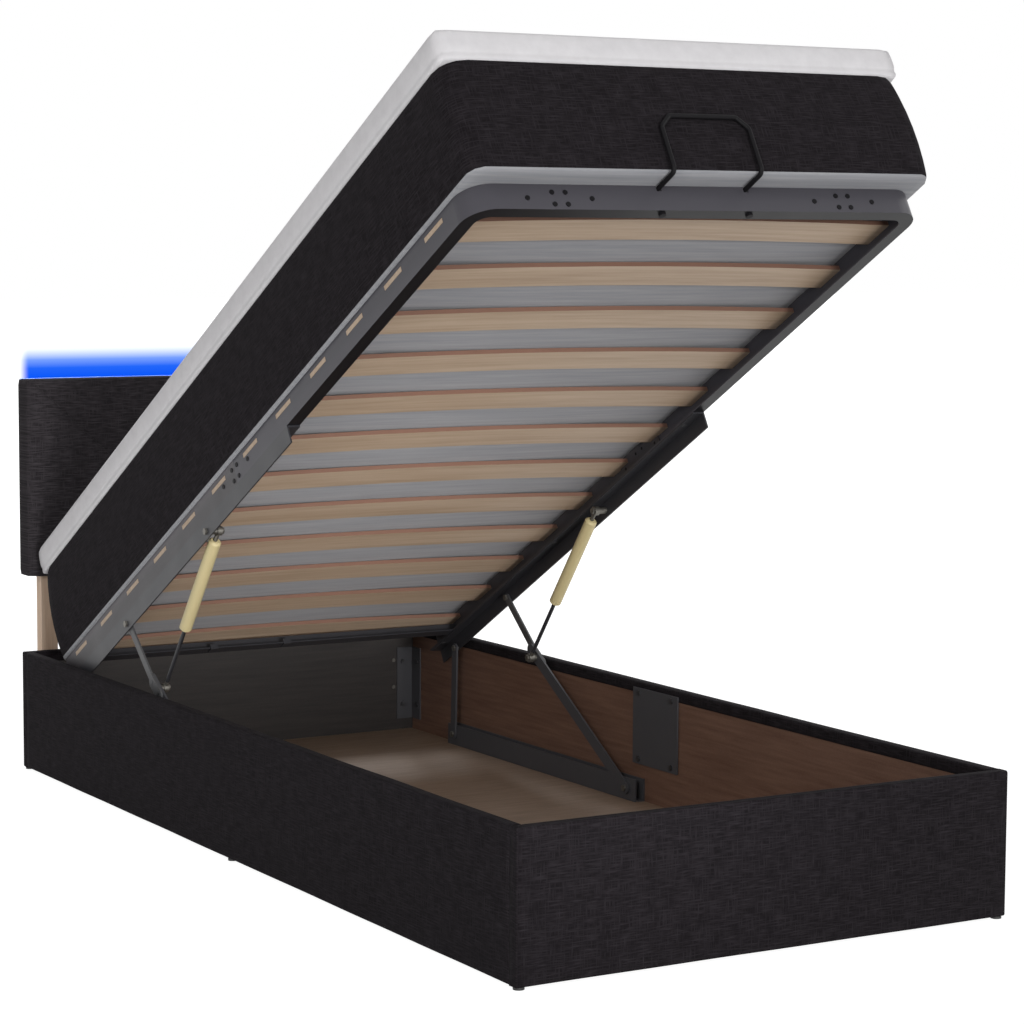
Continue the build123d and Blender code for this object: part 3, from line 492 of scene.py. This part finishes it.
def new_piece(name, points, faces, uvs, finishes, face_finish=None):
    """A mesh object from points, faces and one UV per point."""
    mesh = bpy.data.meshes.new(name)
    mesh.from_pydata(points, [], faces)
    layer = mesh.uv_layers.new(name="metres")
    for loop in mesh.loops:
        layer.data[loop.index].uv = uvs[loop.vertex_index]
    for finish in finishes:
        mesh.materials.append(finish)
    for polygon in mesh.polygons:
        polygon.use_smooth = True
        if face_finish:
            polygon.material_index = face_finish[polygon.index]
    return put_in_scene(name, mesh)


def tidy_normals(piece, merge=True):
    """Point every face outwards, after merging points that share a place."""
    work = bmesh.new()
    work.from_mesh(piece.data)
    if merge:
        bmesh.ops.remove_doubles(work, verts=work.verts, dist=0.00001)
    bmesh.ops.recalc_face_normals(work, faces=work.faces)
    work.to_mesh(piece.data)
    work.free()


print("pieces carry UVs in metres")

# %% Faces and distances


def grid_faces(rows, columns, start=0):
    """Faces between neighbouring rows of points, numbered from start."""
    corners = [start + i * columns + j for i in range(rows - 1) for j in range(columns - 1)]
    return [(a, a + 1, a + columns + 1, a + columns) for a in corners]


def ring_faces(first, second):
    """Faces between two closed rings of point numbers."""
    count = len(first)
    return [(first[k], first[(k + 1) % count], second[(k + 1) % count], second[k])
            for k in range(count)]


def run_lengths(line):
    """Distance along a flat line, at each of its points."""
    runs = [0.0]
    for a, b in zip(line, line[1:]):
        runs.append(runs[-1] + math.hypot(b[0] - a[0], b[1] - a[1]))
    return runs


print("a grid of 3 x 3 points has", len(grid_faces(3, 3)), "faces")

# %% [markdown]
# ## Fabric round the base panels
# Each panel is a board with linen pulled round it: up from a fold on the inner face, over the rim
# and down the outer face to the underside. It is a constant section along the panel, so a sweep
# of that section makes it. The cloth has a slight swell and a real thickness.

# %% Section of a wrapped panel
base_half_width = 0.465
base_half_length = 1.015
rim_height = 0.246
panel_bottom = 0.004
panel_depth = 0.021
panel_round = 0.0045
fold_height = 0.022
cloth_thickness = 0.0012
cloth_swell = 0.0006


def line_points(start, end, steps, normal):
    """Points from start to end, all with one normal; the end is left to the next stretch."""
    (a0, z0), (a1, z1) = start, end
    return [(a0 + (a1 - a0) * i / steps, z0 + (z1 - z0) * i / steps, *normal)
            for i in range(steps)]


def arc_points(centre, radius, first, last, steps):
    """Points round a centre between two angles in degrees, with their normals."""
    turns = [math.radians(first + (last - first) * i / steps) for i in range(steps)]
    return [(centre[0] + radius * math.cos(t), centre[1] + radius * math.sin(t),
             math.cos(t), math.sin(t)) for t in turns]


def wrapped_section():
    """Outer line of the cloth, as depth from the outer face, height and normal."""
    r = panel_round
    inner, top, low = panel_depth, rim_height, panel_bottom
    line = line_points((inner, top - fold_height), (inner, top - r), 4, (1, 0))
    line += arc_points((inner - r, top - r), r, 0, 90, 5)
    line += line_points((inner - r, top), (r, top), 3, (0, 1))
    line += arc_points((r, top - r), r, 90, 180, 5)
    line += line_points((0, top - r), (0, low + r), 22, (-1, 0))
    line += arc_points((r, low + r), r, 180, 270, 5)
    line += line_points((r, low), (inner - r, low), 3, (0, -1))
    line.append((inner - r, low, 0, -1))
    return line


section = wrapped_section()
print("section points:", len(section))

# %% Sweep the section along a panel


def swell(along, height, seed):
    """Slight unevenness of the pulled cloth."""
    return cloth_swell * noise.noise(Vector((along * 5 + seed, height * 14, seed)))


def wrapped_panel(name, place, start, end, steps, seed):
    """Cloth with thickness along a panel. place turns (along, depth, height) into a point."""
    runs = run_lengths(section)
    points, uvs = [], []
    for i in range(steps + 1):
        along = start + (end - start) * i / steps
        outer, inner = [], []
        for (depth, height, na, nz), run in zip(section, runs):
            out = swell(along, height, seed)
            outer.append((depth + na * out, height + nz * out, run))
            inner.append((depth - na * cloth_thickness, height - nz * cloth_thickness, run))
        for depth, height, run in outer + inner[::-1]:
            points.append(place(along, depth, height))
            uvs.append((along, run))
    columns = 2 * len(section)
    faces = grid_faces(steps + 1, columns)
    for i in range(steps):
        last = i * columns + columns - 1
        faces.append((last, i * columns, (i + 1) * columns, last + columns))
    for row in (0, steps):
        ring = [row * columns + j for j in range(columns)]
        faces += [(ring[j], ring[j + 1], ring[-2 - j], ring[-1 - j])
                  for j in range(len(section) - 1)]
    piece = new_piece(name, points, faces, uvs, [charcoal_linen])
    tidy_normals(piece)
    return piece


print("cloth swells up to", cloth_swell * 1000, "mm")

# %% Cloth over a panel's end
# How far each ring of the plate lies behind its face, and how far inside its outline.
end_rings = ((0.0035, 0.0), (0.0018, 0.0), (0.0007, 0.0003), (0.0002, 0.0009),
             (0.0, 0.0018), (0.0, 0.0032))


def end_patch(name, place, face_x, direction):
    """Cloth over a panel's end: a rounded plate with a softened rim."""
    depth, low, high, r = panel_depth, panel_bottom, rim_height, panel_round
    outline = line_points((depth, low), (depth, high), 12, (0, 0))
    outline += line_points((depth, high), (r, high), 3, (0, 1))
    outline += arc_points((r, high - r), r, 90, 180, 6)
    outline += line_points((0, high - r), (0, low + r), 12, (-1, 0))
    outline += arc_points((r, low + r), r, 180, 270, 6)
    outline += line_points((r, low), (depth, low), 3, (0, -1))
    points, uvs, rings = [], [], []
    for back, inset in end_rings:
        rings.append(list(range(len(points), len(points) + len(outline))))
        for a, z, na, nz in outline:
            points.append(place(face_x - direction * back, a - na * inset, z - nz * inset))
            uvs.append((a, z))
    faces = []
    for first, second in zip(rings, rings[1:]):
        faces += ring_faces(first, second)
    faces += [tuple(rings[0]), tuple(rings[-1])]
    piece = new_piece(name, points, faces, uvs, [charcoal_linen])
    tidy_normals(piece)
    return piece


print("end patch rings:", len(end_rings))

# %% The four wrapped panels
side_length = base_half_length - panel_depth
side_steps, end_steps = 160, 80
end_gap = 0.002


def on_side(sign):
    """Places on a side panel, the left one for -1 and the right one for 1."""
    return lambda along, depth, height: (sign * (base_half_width - depth), along, height)


def on_end(sign):
    """Places on an end panel, at the foot for -1 and at the head for 1."""
    return lambda along, depth, height: (along, sign * (base_half_length - depth), height)


for name, sign in (("left", -1), ("right", 1)):
    cover = wrapped_panel("side_linen_" + name, on_side(sign), -side_length, side_length,
                          side_steps, 3.0 * sign)
    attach(cover, "base")
    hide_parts("side_cover_" + name)
for name, sign in (("foot", -1), ("head", 1)):
    reach = base_half_width - end_gap
    cover = wrapped_panel(name + "_linen", on_end(sign), -reach, reach, end_steps, 7.0 * sign)
    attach(cover, "base")
    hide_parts(name + "_cover")
    for side in (-1, 1):
        patch = end_patch(f"{name}_linen_end_{'left' if side < 0 else 'right'}", on_end(sign),
                          side * base_half_width, side)
        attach(patch, "base")
print("base panels wrapped")

# %% [markdown]
# ## Headboard padding
# The headboard's front is foam under linen, sewn through along a V. Rows of points are laid so
# that columns follow the two seams, so each groove stays sharp with few points. Between seams
# the foam rises a little and the cloth draws small gathers towards the stitches.

# %% Headboard sizes and seams
board_half = 0.450
board_low = 0.400
board_high = 0.810
board_front = 1.0125
board_back = 1.0605
board_round = 0.007
seam_top = board_half - 0.020
seam_closest = 0.003
seam_foot_gap = 0.006
seam_head_gap = 0.008
seam_rim_gap = 0.004
side_columns, middle_columns = 34, 56


def seam_place(height):
    """Half distance between the two seams at a height."""
    share = ((height - board_low - seam_foot_gap)
             / (board_high - board_low - (seam_foot_gap + seam_head_gap)))
    return seam_closest + (seam_top - seam_closest) * max(0.0, min(1.0, share))


def eased(count, both_ends):
    """Shares from 0 to 1, closer together at both ends or at the last one alone."""
    shares = [i / count for i in range(count + 1)]
    if both_ends:
        return [0.5 - 0.5 * math.cos(math.pi * s) for s in shares]
    return [math.sin(math.pi / 2 * s) for s in shares]


def front_row(height, half):
    """Places across the front at a height, gathered near the seams."""
    seam = min(seam_place(height), half - seam_rim_gap)
    left = [-half + (half - seam) * s for s in eased(side_columns, False)]
    middle = [-seam + 2 * seam * s for s in eased(middle_columns, True)]
    return left[:-1] + middle + [-x for x in reversed(left[:-1])]


print("seams are", round(2 * seam_place(board_high), 3), "m apart at the top")

# %% Headboard front
seam_depth = 0.0045
groove_width = 0.0055
gather_pitch = 0.021
gather_share = 0.35
gather_reach = 0.012
foam_rise = 0.004
crown_reach = 0.035
rim_reach = 0.03
ripple_height = 0.0005


def front_depth(x, height):
    """How far a point of the padded front lies behind the front plane."""
    slant = math.cos(math.atan2(seam_top, board_high - board_low))
    away = abs(abs(x) - seam_place(height)) * slant
    wave = math.sin(height * 2 * math.pi / gather_pitch)
    gather = 1 + gather_share * wave * math.exp(-away / gather_reach)
    groove = seam_depth * gather * math.exp(-(away / groove_width) ** 1.5)
    edge = min(board_half - abs(x), board_high - height, height - board_low)
    crown = foam_rise * (1 - math.exp(-away / crown_reach))
    crown *= 1 - math.exp(-max(edge, 0) / rim_reach)
    ripple = ripple_height * noise.noise(Vector((x * 14, height * 14, 5.0)))
    return groove - crown + ripple


print("seam groove:", round(1000 * front_depth(seam_place(0.6), 0.6), 1), "mm deep")

# %% Headboard shell
cover_rows = 64
corner_ease = 0.75
side_cloth = 0.0025
pad_thickness = 0.0095


def rim_side(value, low, high):
    """1 on the high side of a range, -1 on the low side and 0 between."""
    return (value > high - 0.00001) - (value < low + 0.00001)


def front_grid(inset):
    """Points and UVs of the padded front, and the ring of point numbers round it."""
    points, uvs = [], []
    for i in range(cover_rows + 1):
        height = board_low + inset + (board_high - board_low - 2 * inset) * i / cover_rows
        for x in front_row(height, board_half - inset):
            points.append((x, board_front + front_depth(x, height), height))
            uvs.append((x, height))
    columns = len(points) // (cover_rows + 1)
    ring = list(range(columns)) + [i * columns + columns - 1 for i in range(1, cover_rows + 1)]
    ring += [cover_rows * columns + j for j in range(columns - 2, -1, -1)]
    ring += [i * columns for i in range(cover_rows - 1, 0, -1)]
    return points, uvs, ring, columns


def headboard_pad():
    """Front grid, rounded rim, sides and an open back with thickness."""
    inset = board_round
    points, uvs, ring, columns = front_grid(inset)
    faces = grid_faces(cover_rows + 1, columns)
    turns = [k * math.pi / 8 for k in range(1, 5)]
    steps = [(inset * math.sin(t), inset * (1 - math.cos(t))) for t in turns]
    depth = board_back - board_front
    steps += [(inset, depth * share) for share in (0.35, 0.6, 0.8, 1.0)]
    steps += [(inset - side_cloth, depth), (inset - side_cloth, pad_thickness)]
    base = [points[k] for k in ring]
    for out, back in steps:
        current = list(range(len(points), len(points) + len(ring)))
        for x, y, z in base:
            dx = out * rim_side(x, -board_half + inset, board_half - inset)
            dz = out * rim_side(z, board_low + inset, board_high - inset)
            if dx and dz:
                dx, dz = dx * corner_ease, dz * corner_ease
            blend = max(0.0, 1 - back / inset)
            points.append((x + dx, board_front + back + (y - board_front) * blend, z + dz))
            longer = 1 + 2 * back
            uvs.append((x + dx * longer, z + dz * longer + (back if dz else 0)))
        faces += ring_faces(ring, current)
        ring = current
    faces.append(tuple(ring))
    piece = new_piece("headboard_padding", points, faces, uvs, [headboard_linen])
    tidy_normals(piece)
    return piece


padding = headboard_pad()
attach(padding, "base")
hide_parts("headboard_cover")
print("headboard faces:", len(padding.data.polygons))

# %% [markdown]
# ## Stitches
# A seam reads as sewn only if its thread shows. Each stitch is a short capsule laid in the groove.
# One small mesh is copied along both seams and joined, so the thread stays one piece.

# %% One stitch
stitch_length = 0.0045
stitch_pitch = 0.0075
thread_radius = 0.0004
stitch_sides = 6
# Places along a stitch, and how full it is there.
stitch_profile = ((0.1, 0.7), (0.3, 1.0), (0.7, 1.0), (0.9, 0.7))


def capsule(start, end, radius):
    """A thin round rod with tapered ends, as points and faces."""
    line = end - start
    across = line.cross(Vector((0, 1, 0))).normalized() * radius
    lift = Vector((0, 1, 0)) * radius
    points, rings = [start], []
    for share, size in stitch_profile:
        rings.append(list(range(len(points), len(points) + stitch_sides)))
        for k in range(stitch_sides):
            t = 2 * math.pi * k / stitch_sides
            points.append(start + line * share + (across * math.cos(t) + lift * math.sin(t)) * size)
    points.append(end)
    first, last = rings[0], rings[-1]
    faces = [(0, first[(k + 1) % stitch_sides], first[k]) for k in range(stitch_sides)]
    for low_ring, high_ring in zip(rings, rings[1:]):
        faces += ring_faces(low_ring, high_ring)
    faces += [(last[k], last[(k + 1) % stitch_sides], len(points) - 1)
              for k in range(stitch_sides)]
    return points, faces


print("a stitch every", stitch_pitch * 1000, "mm")

# %% Stitches in the headboard's seams
stitch_margin = 0.012
linen_thread = Finish("linen_thread", (0.02, 0.019, 0.02), 0.8)
thread_twist = linen_thread.cloud(linen_thread.place(), 1500.0, 1.0)
linen_thread.colour_from(linen_thread.tones(thread_twist, (0.01, 0.01, 0.01),
                                            (0.04, 0.038, 0.04)))


def seam_stitches():
    """The thread of both seams, stitch by stitch from the bottom up."""
    points, faces = [], []
    low, high = board_low + stitch_margin, board_high - stitch_margin
    slope = (seam_place(high) - seam_place(low)) / (high - low)
    run = math.hypot(slope, 1)
    for sign in (-1, 1):
        height = low
        while height < high:
            ends = []
            for z in (height, height + stitch_length / run):
                x = sign * seam_place(z)
                ends.append(Vector((x, board_front + front_depth(x, z) - thread_radius * 0.4, z)))
            new_points, new_faces = capsule(*ends, thread_radius)
            faces += [tuple(len(points) + k for k in face) for face in new_faces]
            points += new_points
            height += stitch_pitch / run
    piece = new_piece("headboard_stitches", points, faces, [(0, 0)] * len(points),
                      [linen_thread.material])
    tidy_normals(piece)
    return piece


stitches = seam_stitches()
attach(stitches, "base")
print("stitch faces:", len(stitches.data.polygons))

# %% [markdown]
# ## Mattress and topper
# Both are soft blocks with rounded corners. A grid over a rectangle can be bent into a rounded
# rectangle without any pinched faces by moving each corner square onto a quarter disc. Rings at
# many heights then give the sides their slight bulge and their drawn-in edges.

# %% Places on the platform
grid_step = 0.022


def rounded_place(x, y, half_x, half_y, radius):
    """Moves a point of a rectangle so that its corners become round."""
    over_x, over_y = abs(x) - (half_x - radius), abs(y) - (half_y - radius)
    if over_x <= 0 or over_y <= 0:
        return x, y
    reach = max(over_x, over_y) / math.hypot(over_x, over_y)
    return (math.copysign(half_x - radius + over_x * reach, x),
            math.copysign(half_y - radius + over_y * reach, y))


def in_platform(x, place, rise):
    """A point of the lifted platform: across, from its back towards the foot, above the slats."""
    return platform_back + Vector((x, 0, 0)) + towards_foot * place + platform_up * rise


print("soft blocks have faces of about", grid_step * 1000, "mm")

# %% Soft block


def soft_block(name, centre, half_x, half_y, low, high, corners, inset_at, levels, top_rise,
               low_rise, finishes, finish_at):
    """A soft block on the platform.

    corners are the radii at the bottom and the top. inset_at says how far the side is drawn in at
    a share of the height, and finish_at which finish a face takes.
    """
    nx, ny = round(2 * half_x / grid_step), round(2 * half_y / grid_step)
    rim = [(i, 0) for i in range(nx)] + [(nx, j) for j in range(ny)]
    rim += [(i, ny) for i in range(nx, 0, -1)] + [(0, j) for j in range(ny, 0, -1)]
    points, uvs, faces, face_finish = [], [], [], []

    def grid_place(i, j, radius):
        """Where a grid point lies once the corners are round."""
        x, y = (2 * i / nx - 1) * half_x, (2 * j / ny - 1) * half_y
        return rounded_place(x, y, half_x, half_y, radius)

    def drawn_in(i, j, level):
        """The same at a level, where the side is drawn in."""
        inset = inset_at(level)
        x, y = grid_place(i, j, corners[0] + (corners[1] - corners[0]) * level)
        return x * (1 - inset / half_x), y * (1 - inset / half_y)

    def add_cap(level, rise, kind):
        """The grid of the underside or the top. Gives the point numbers round it."""
        start = len(points)
        for j in range(ny + 1):
            for i in range(nx + 1):
                x, y = drawn_in(i, j, level)
                points.append(in_platform(x, centre + y, low + (high - low) * level + rise(x, y)))
                uvs.append((x, y))
        faces.extend(grid_faces(ny + 1, nx + 1, start))
        face_finish.extend([finish_at(kind, level)] * (nx * ny))
        return [start + j * (nx + 1) + i for i, j in rim]

    def add_ring(level):
        """One ring of the sides. Gives its point numbers."""
        start = len(points)
        for (i, j), run in zip(rim, rim_runs):
            x, y = drawn_in(i, j, level)
            points.append(in_platform(x, centre + y, low + (high - low) * level))
            uvs.append((run, (high - low) * level))
        return list(range(start, len(points)))

    outline = [grid_place(i, j, corners[1]) for i, j in rim]
    runs = run_lengths(outline + outline[:1])
    rim_runs = [min(run, runs[-1] - run) for run in runs[:-1]]
    bottom = add_cap(levels[0], low_rise, "under")
    top = add_cap(levels[-1], top_rise, "over")
    rings = [bottom] + [add_ring(level) for level in levels[1:-1]] + [top]
    for level, low_ring, high_ring in zip(levels, rings, rings[1:]):
        faces.extend(ring_faces(low_ring, high_ring))
        face_finish.extend([finish_at("side", level)] * len(rim))
    piece = new_piece(name, points, faces, uvs, finishes, face_finish)
    tidy_normals(piece, merge=False)
    return piece


print("soft block ready")

# %% Mattress
mattress_half_width = 0.4375
mattress_half_length = 0.9825
mattress_thickness = 0.194
mattress_lift = 0.0008
mattress_fullness = 0.005
mattress_corners = (0.026, 0.042)
side_bulge = 0.006
hem_draw = 0.0015
hem_share = 0.01
first_slat = 0.110
slat_pitch = 0.15364
slat_sink = 0.0012
held_rim = 0.06


def mattress_inset(level):
    """Sides stand out most at mid-height and turn in quickly at the sewn edges."""
    away = abs(2 * level - 1)
    return side_bulge * away ** 2 + hem_draw * away ** 30 - mattress_fullness


def mattress_under(x, y):
    """The underside sinks a little between slats, where nothing holds it."""
    place = mattress_half_length + y
    wave = math.cos(2 * math.pi * (place - first_slat) / slat_pitch)
    edge = min(1.0, (mattress_half_width - abs(x)) / held_rim,
               (mattress_half_length - abs(y)) / held_rim)
    return slat_sink * wave * max(0.0, edge)


def mattress_finish(kind, level):
    """Number 1, the grey cloth, on the underside and its narrow hem. Number 0, linen, elsewhere."""
    return 1 if kind == "under" or (kind == "side" and level < hem_share) else 0


mattress_levels = [0.0, 0.008, 0.02, 0.045, 0.09, 0.18, 0.34, 0.5, 0.66, 0.82, 0.91, 0.955, 0.98,
                   0.992, 1.0]
mattress = soft_block("mattress_core", mattress_half_length, mattress_half_width,
                      mattress_half_length, mattress_lift, mattress_thickness, mattress_corners,
                      mattress_inset, mattress_levels, lambda x, y: 0, mattress_under,
                      [charcoal_linen, underside_cloth], mattress_finish)
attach(mattress, "platform")
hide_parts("mattress")
print("mattress faces:", len(mattress.data.polygons))

# %% Topper
topper_half_width = mattress_half_width + 0.001
topper_half_length = mattress_half_length - 0.001
topper_thickness = 0.0555
topper_lift = 0.0005
topper_corners = (0.010, 0.010)
topper_crown = 0.0015
topper_ripple = 0.0012
topper_bulge = 0.0015
topper_draw = 0.004
crease_depth = 0.0012
crease_level = 0.24


def topper_inset(level):
    """Nearly upright sides with a shallow crease low down, drawn in at both edges."""
    away = abs(2 * level - 1)
    crease = crease_depth * math.exp(-((level - crease_level) / 0.08) ** 2)
    return topper_bulge * away ** 2 + topper_draw * away ** 14 + crease


def topper_top(x, y):
    """A low crown that falls off towards the edges."""
    edge = min(topper_half_width - abs(x), topper_half_length - abs(y))
    crown = -topper_crown * math.exp(-max(edge, 0) / 0.05)
    return crown + topper_ripple * noise.noise(Vector((x * 5, y * 5, 2.0)))


topper_levels = [0.0, 0.03, 0.08, 0.14, 0.19, 0.24, 0.29, 0.36, 0.5, 0.64, 0.76, 0.86, 0.93, 0.97,
                 1.0]
topper = soft_block("mattress_topper_pad", mattress_half_length, topper_half_width,
                    topper_half_length, mattress_thickness + topper_lift,
                    mattress_thickness + topper_thickness, topper_corners, topper_inset,
                    topper_levels, topper_top, lambda x, y: 0, [topper_cloth],
                    lambda kind, level: 0)
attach(topper, "platform")
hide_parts("mattress_topper")
print("topper faces:", len(topper.data.polygons))

# %% [markdown]
# ## Surrounding
# The studio's surrounding is plain white. As a light it is dimmer than white, or it would flatten
# the bed, so the Light Path node tells the two uses apart: white for what the camera sees, also in
# gloss and through glass, and a soft light for everything else.

# %% Surrounding
ambient_strength = 0.27
white_strength = 1.0
background_rays = ("Is Camera Ray", "Is Glossy Ray", "Is Transmission Ray")

world = bpy.data.worlds.new("studio")
world.use_nodes = True
bpy.context.scene.world = world
sky = world.node_tree.nodes
link = world.node_tree.links.new
sky.clear()
paths = sky.new("ShaderNodeLightPath")
seen = paths.outputs[background_rays[0]]
for ray in background_rays[1:]:
    either = sky.new("ShaderNodeMath")
    either.operation = "MAXIMUM"
    link(seen, either.inputs[0])
    link(paths.outputs[ray], either.inputs[1])
    seen = either.outputs[0]
level = sky.new("ShaderNodeMapRange")
level.inputs["To Min"].default_value = ambient_strength
level.inputs["To Max"].default_value = white_strength
backdrop = sky.new("ShaderNodeBackground")
backdrop.inputs["Color"].default_value = (1, 1, 1, 1)
sky_out = sky.new("ShaderNodeOutputWorld")
link(seen, level.inputs["Value"])
link(level.outputs[0], backdrop.inputs["Strength"])
link(backdrop.outputs[0], sky_out.inputs["Surface"])
bpy.context.scene.view_settings.view_transform = "Standard"
print("surrounding lights the bed at", ambient_strength)

# %% [markdown]
# ## Lamps
# Large soft lamps stand where a studio's would: a key lamp at the left, a wide one far off at the
# foot, a weak one at the right and one behind the head for the back. The deep end of the lifted
# platform's underside gets little of their light, so a narrow lamp shines in there from the foot.
# A wider one would also brighten the base's front.

# %% Lamps


def add_lamp(kind, name, place, target, power, **settings):
    """A lamp at a place, turned towards a target, with settings of its kind."""
    lamp = bpy.data.lights.new(name, kind)
    lamp.energy = power
    for setting, value in settings.items():
        setattr(lamp, setting, value)
    holder = put_in_scene(name, lamp)
    holder.location = place
    holder.rotation_mode = "QUATERNION"
    holder.rotation_quaternion = (Vector(target) - Vector(place)).to_track_quat("-Z", "Y")


add_lamp("AREA", "key_lamp", (-4.4, -4.0, 2.4), (-0.2, 0.2, 0.5), 94, size=2.4)
add_lamp("AREA", "foot_lamp", (-2.1, -20.0, 1.2), (0, 0.6, 0.4), 2300, size=5.2)
add_lamp("AREA", "right_lamp", (4.2, -2.0, 3.0), (0, 0, 0.3), 35, size=2.6)
add_lamp("AREA", "head_lamp", (1.5, 8.5, 5.5), (0, 0.3, 0.5), 450, size=3.0)
add_lamp("SPOT", "inside_light", (-1.0, -6.0, 0.42), (0.0, 0.75, 0.60), 900,
         spot_size=math.radians(11), spot_blend=1.0, shadow_soft_size=0.3)
print("lamps:", len(bpy.data.lights))

# %% [markdown]
# ## Floor
# The studio floor runs out to white without a horizon. A big plane alone would render grey, so the
# camera sees mostly white paint that glows, and a share of plain paint near the bed, which keeps
# the bed's shadow. That share fades out with distance. Light for the bed comes from the plain
# paint alone.

# %% Flat sheets


def flat_sheet(name, corners, finish):
    """One flat face with a finish."""
    mesh = bpy.data.meshes.new(name)
    mesh.from_pydata(corners, [], [(0, 1, 2, 3)])
    mesh.materials.append(finish.material)
    return put_in_scene(name, mesh)


print("flat sheets ready")

# %% Floor
floor_reach = 40.0
shadow_near, shadow_far = 1.6, 4.0
white_share_near = 0.70
white_glow = 1.35

floor_paint = Finish("floor_paint", (0.85, 0.85, 0.85), 0.9)
floor_paint.shader.inputs["Specular IOR Level"].default_value = 0.0
rays = floor_paint.add("LightPath")
shown = rays.outputs[background_rays[0]]
for ray in background_rays[1:]:
    shown = floor_paint.maths("MAXIMUM", shown, rays.outputs[ray])
distance = floor_paint.add("VectorMath", [(0, floor_paint.place())], operation="LENGTH")
far = floor_paint.add("MapRange", [("Value", distance.outputs["Value"])], from_min=shadow_near,
                      from_max=shadow_far, to_min=white_share_near, to_max=1.0,
                      interpolation_type="SMOOTHSTEP")
white = floor_paint.add("Emission", strength=white_glow)
white_share = floor_paint.maths("MULTIPLY", shown, far.outputs[0])
floor_look = floor_paint.add("MixShader", [(0, white_share), (1, floor_paint.shader.outputs[0]),
                                           (2, white.outputs[0])])
floor_paint.surface_from(floor_look.outputs[0])
studio_floor = flat_sheet("studio_floor", [(-floor_reach, -floor_reach, 0),
                                           (floor_reach, -floor_reach, 0),
                                           (floor_reach, floor_reach, 0),
                                           (-floor_reach, floor_reach, 0)], floor_paint)
print("floor reaches", floor_reach, "m each way")

# %% [markdown]
# ## Glow above the headboard
# Behind the headboard's top edge the light strip throws a soft blue band on what is behind it. A
# wall there would hide the white background, so a thin upright sheet stands for the band: its
# colour pales and fades upwards, and it lets everything else through.

# %% Glow above the headboard
glow_low, glow_high = 0.806, 0.896
glow_half = 0.447
glow_y = 1.082
glow_end_fade = 0.03
glow_colours = [(0.0, (0.0, 0.09, 0.95)), (0.25, (0.003, 0.12, 0.96)), (0.5, (0.0, 0.21, 0.95)),
                (1.0, (0.1, 0.35, 1.0))]
# How much of the sheet shows, from its foot to its top.
glow_fade = [(0.0, 1.0), (0.27, 0.99), (0.46, 0.86), (0.70, 0.29), (0.84, 0.08), (1.0, 0.0)]

glow = Finish("light_glow", (0, 0, 0), 1.0)
spread = glow.add("SeparateXYZ", [("Vector", glow.place())])
rise = glow.add("MapRange", [("Value", spread.outputs["Z"])], from_min=glow_low,
                from_max=glow_high).outputs[0]
side = glow.maths("SUBTRACT", glow_half, glow.maths("ABSOLUTE", spread.outputs["X"]))
side = glow.add("MapRange", [("Value", side)], from_min=0.0, from_max=glow_end_fade,
                interpolation_type="SMOOTHSTEP").outputs[0]
fade = glow.ramp(rise, [(position, (share, share, share)) for position, share in glow_fade])
clear = glow.add("BsdfTransparent").outputs[0]
light = glow.add("Emission", [("Color", glow.ramp(rise, glow_colours))], strength=1.0).outputs[0]
glow_look = glow.add("MixShader", [(0, glow.maths("MULTIPLY", fade, side)), (1, clear),
                                   (2, light)])
glow.surface_from(glow_look.outputs[0])
light_glow = flat_sheet("light_glow", [(-glow_half, glow_y, glow_low),
                                       (glow_half, glow_y, glow_low),
                                       (glow_half, glow_y, glow_high),
                                       (-glow_half, glow_y, glow_high)], glow)
light_glow.visible_shadow = False
light_glow.visible_diffuse = False
print("glow is", round(glow_high - glow_low, 3), "m high")

# %% [markdown]
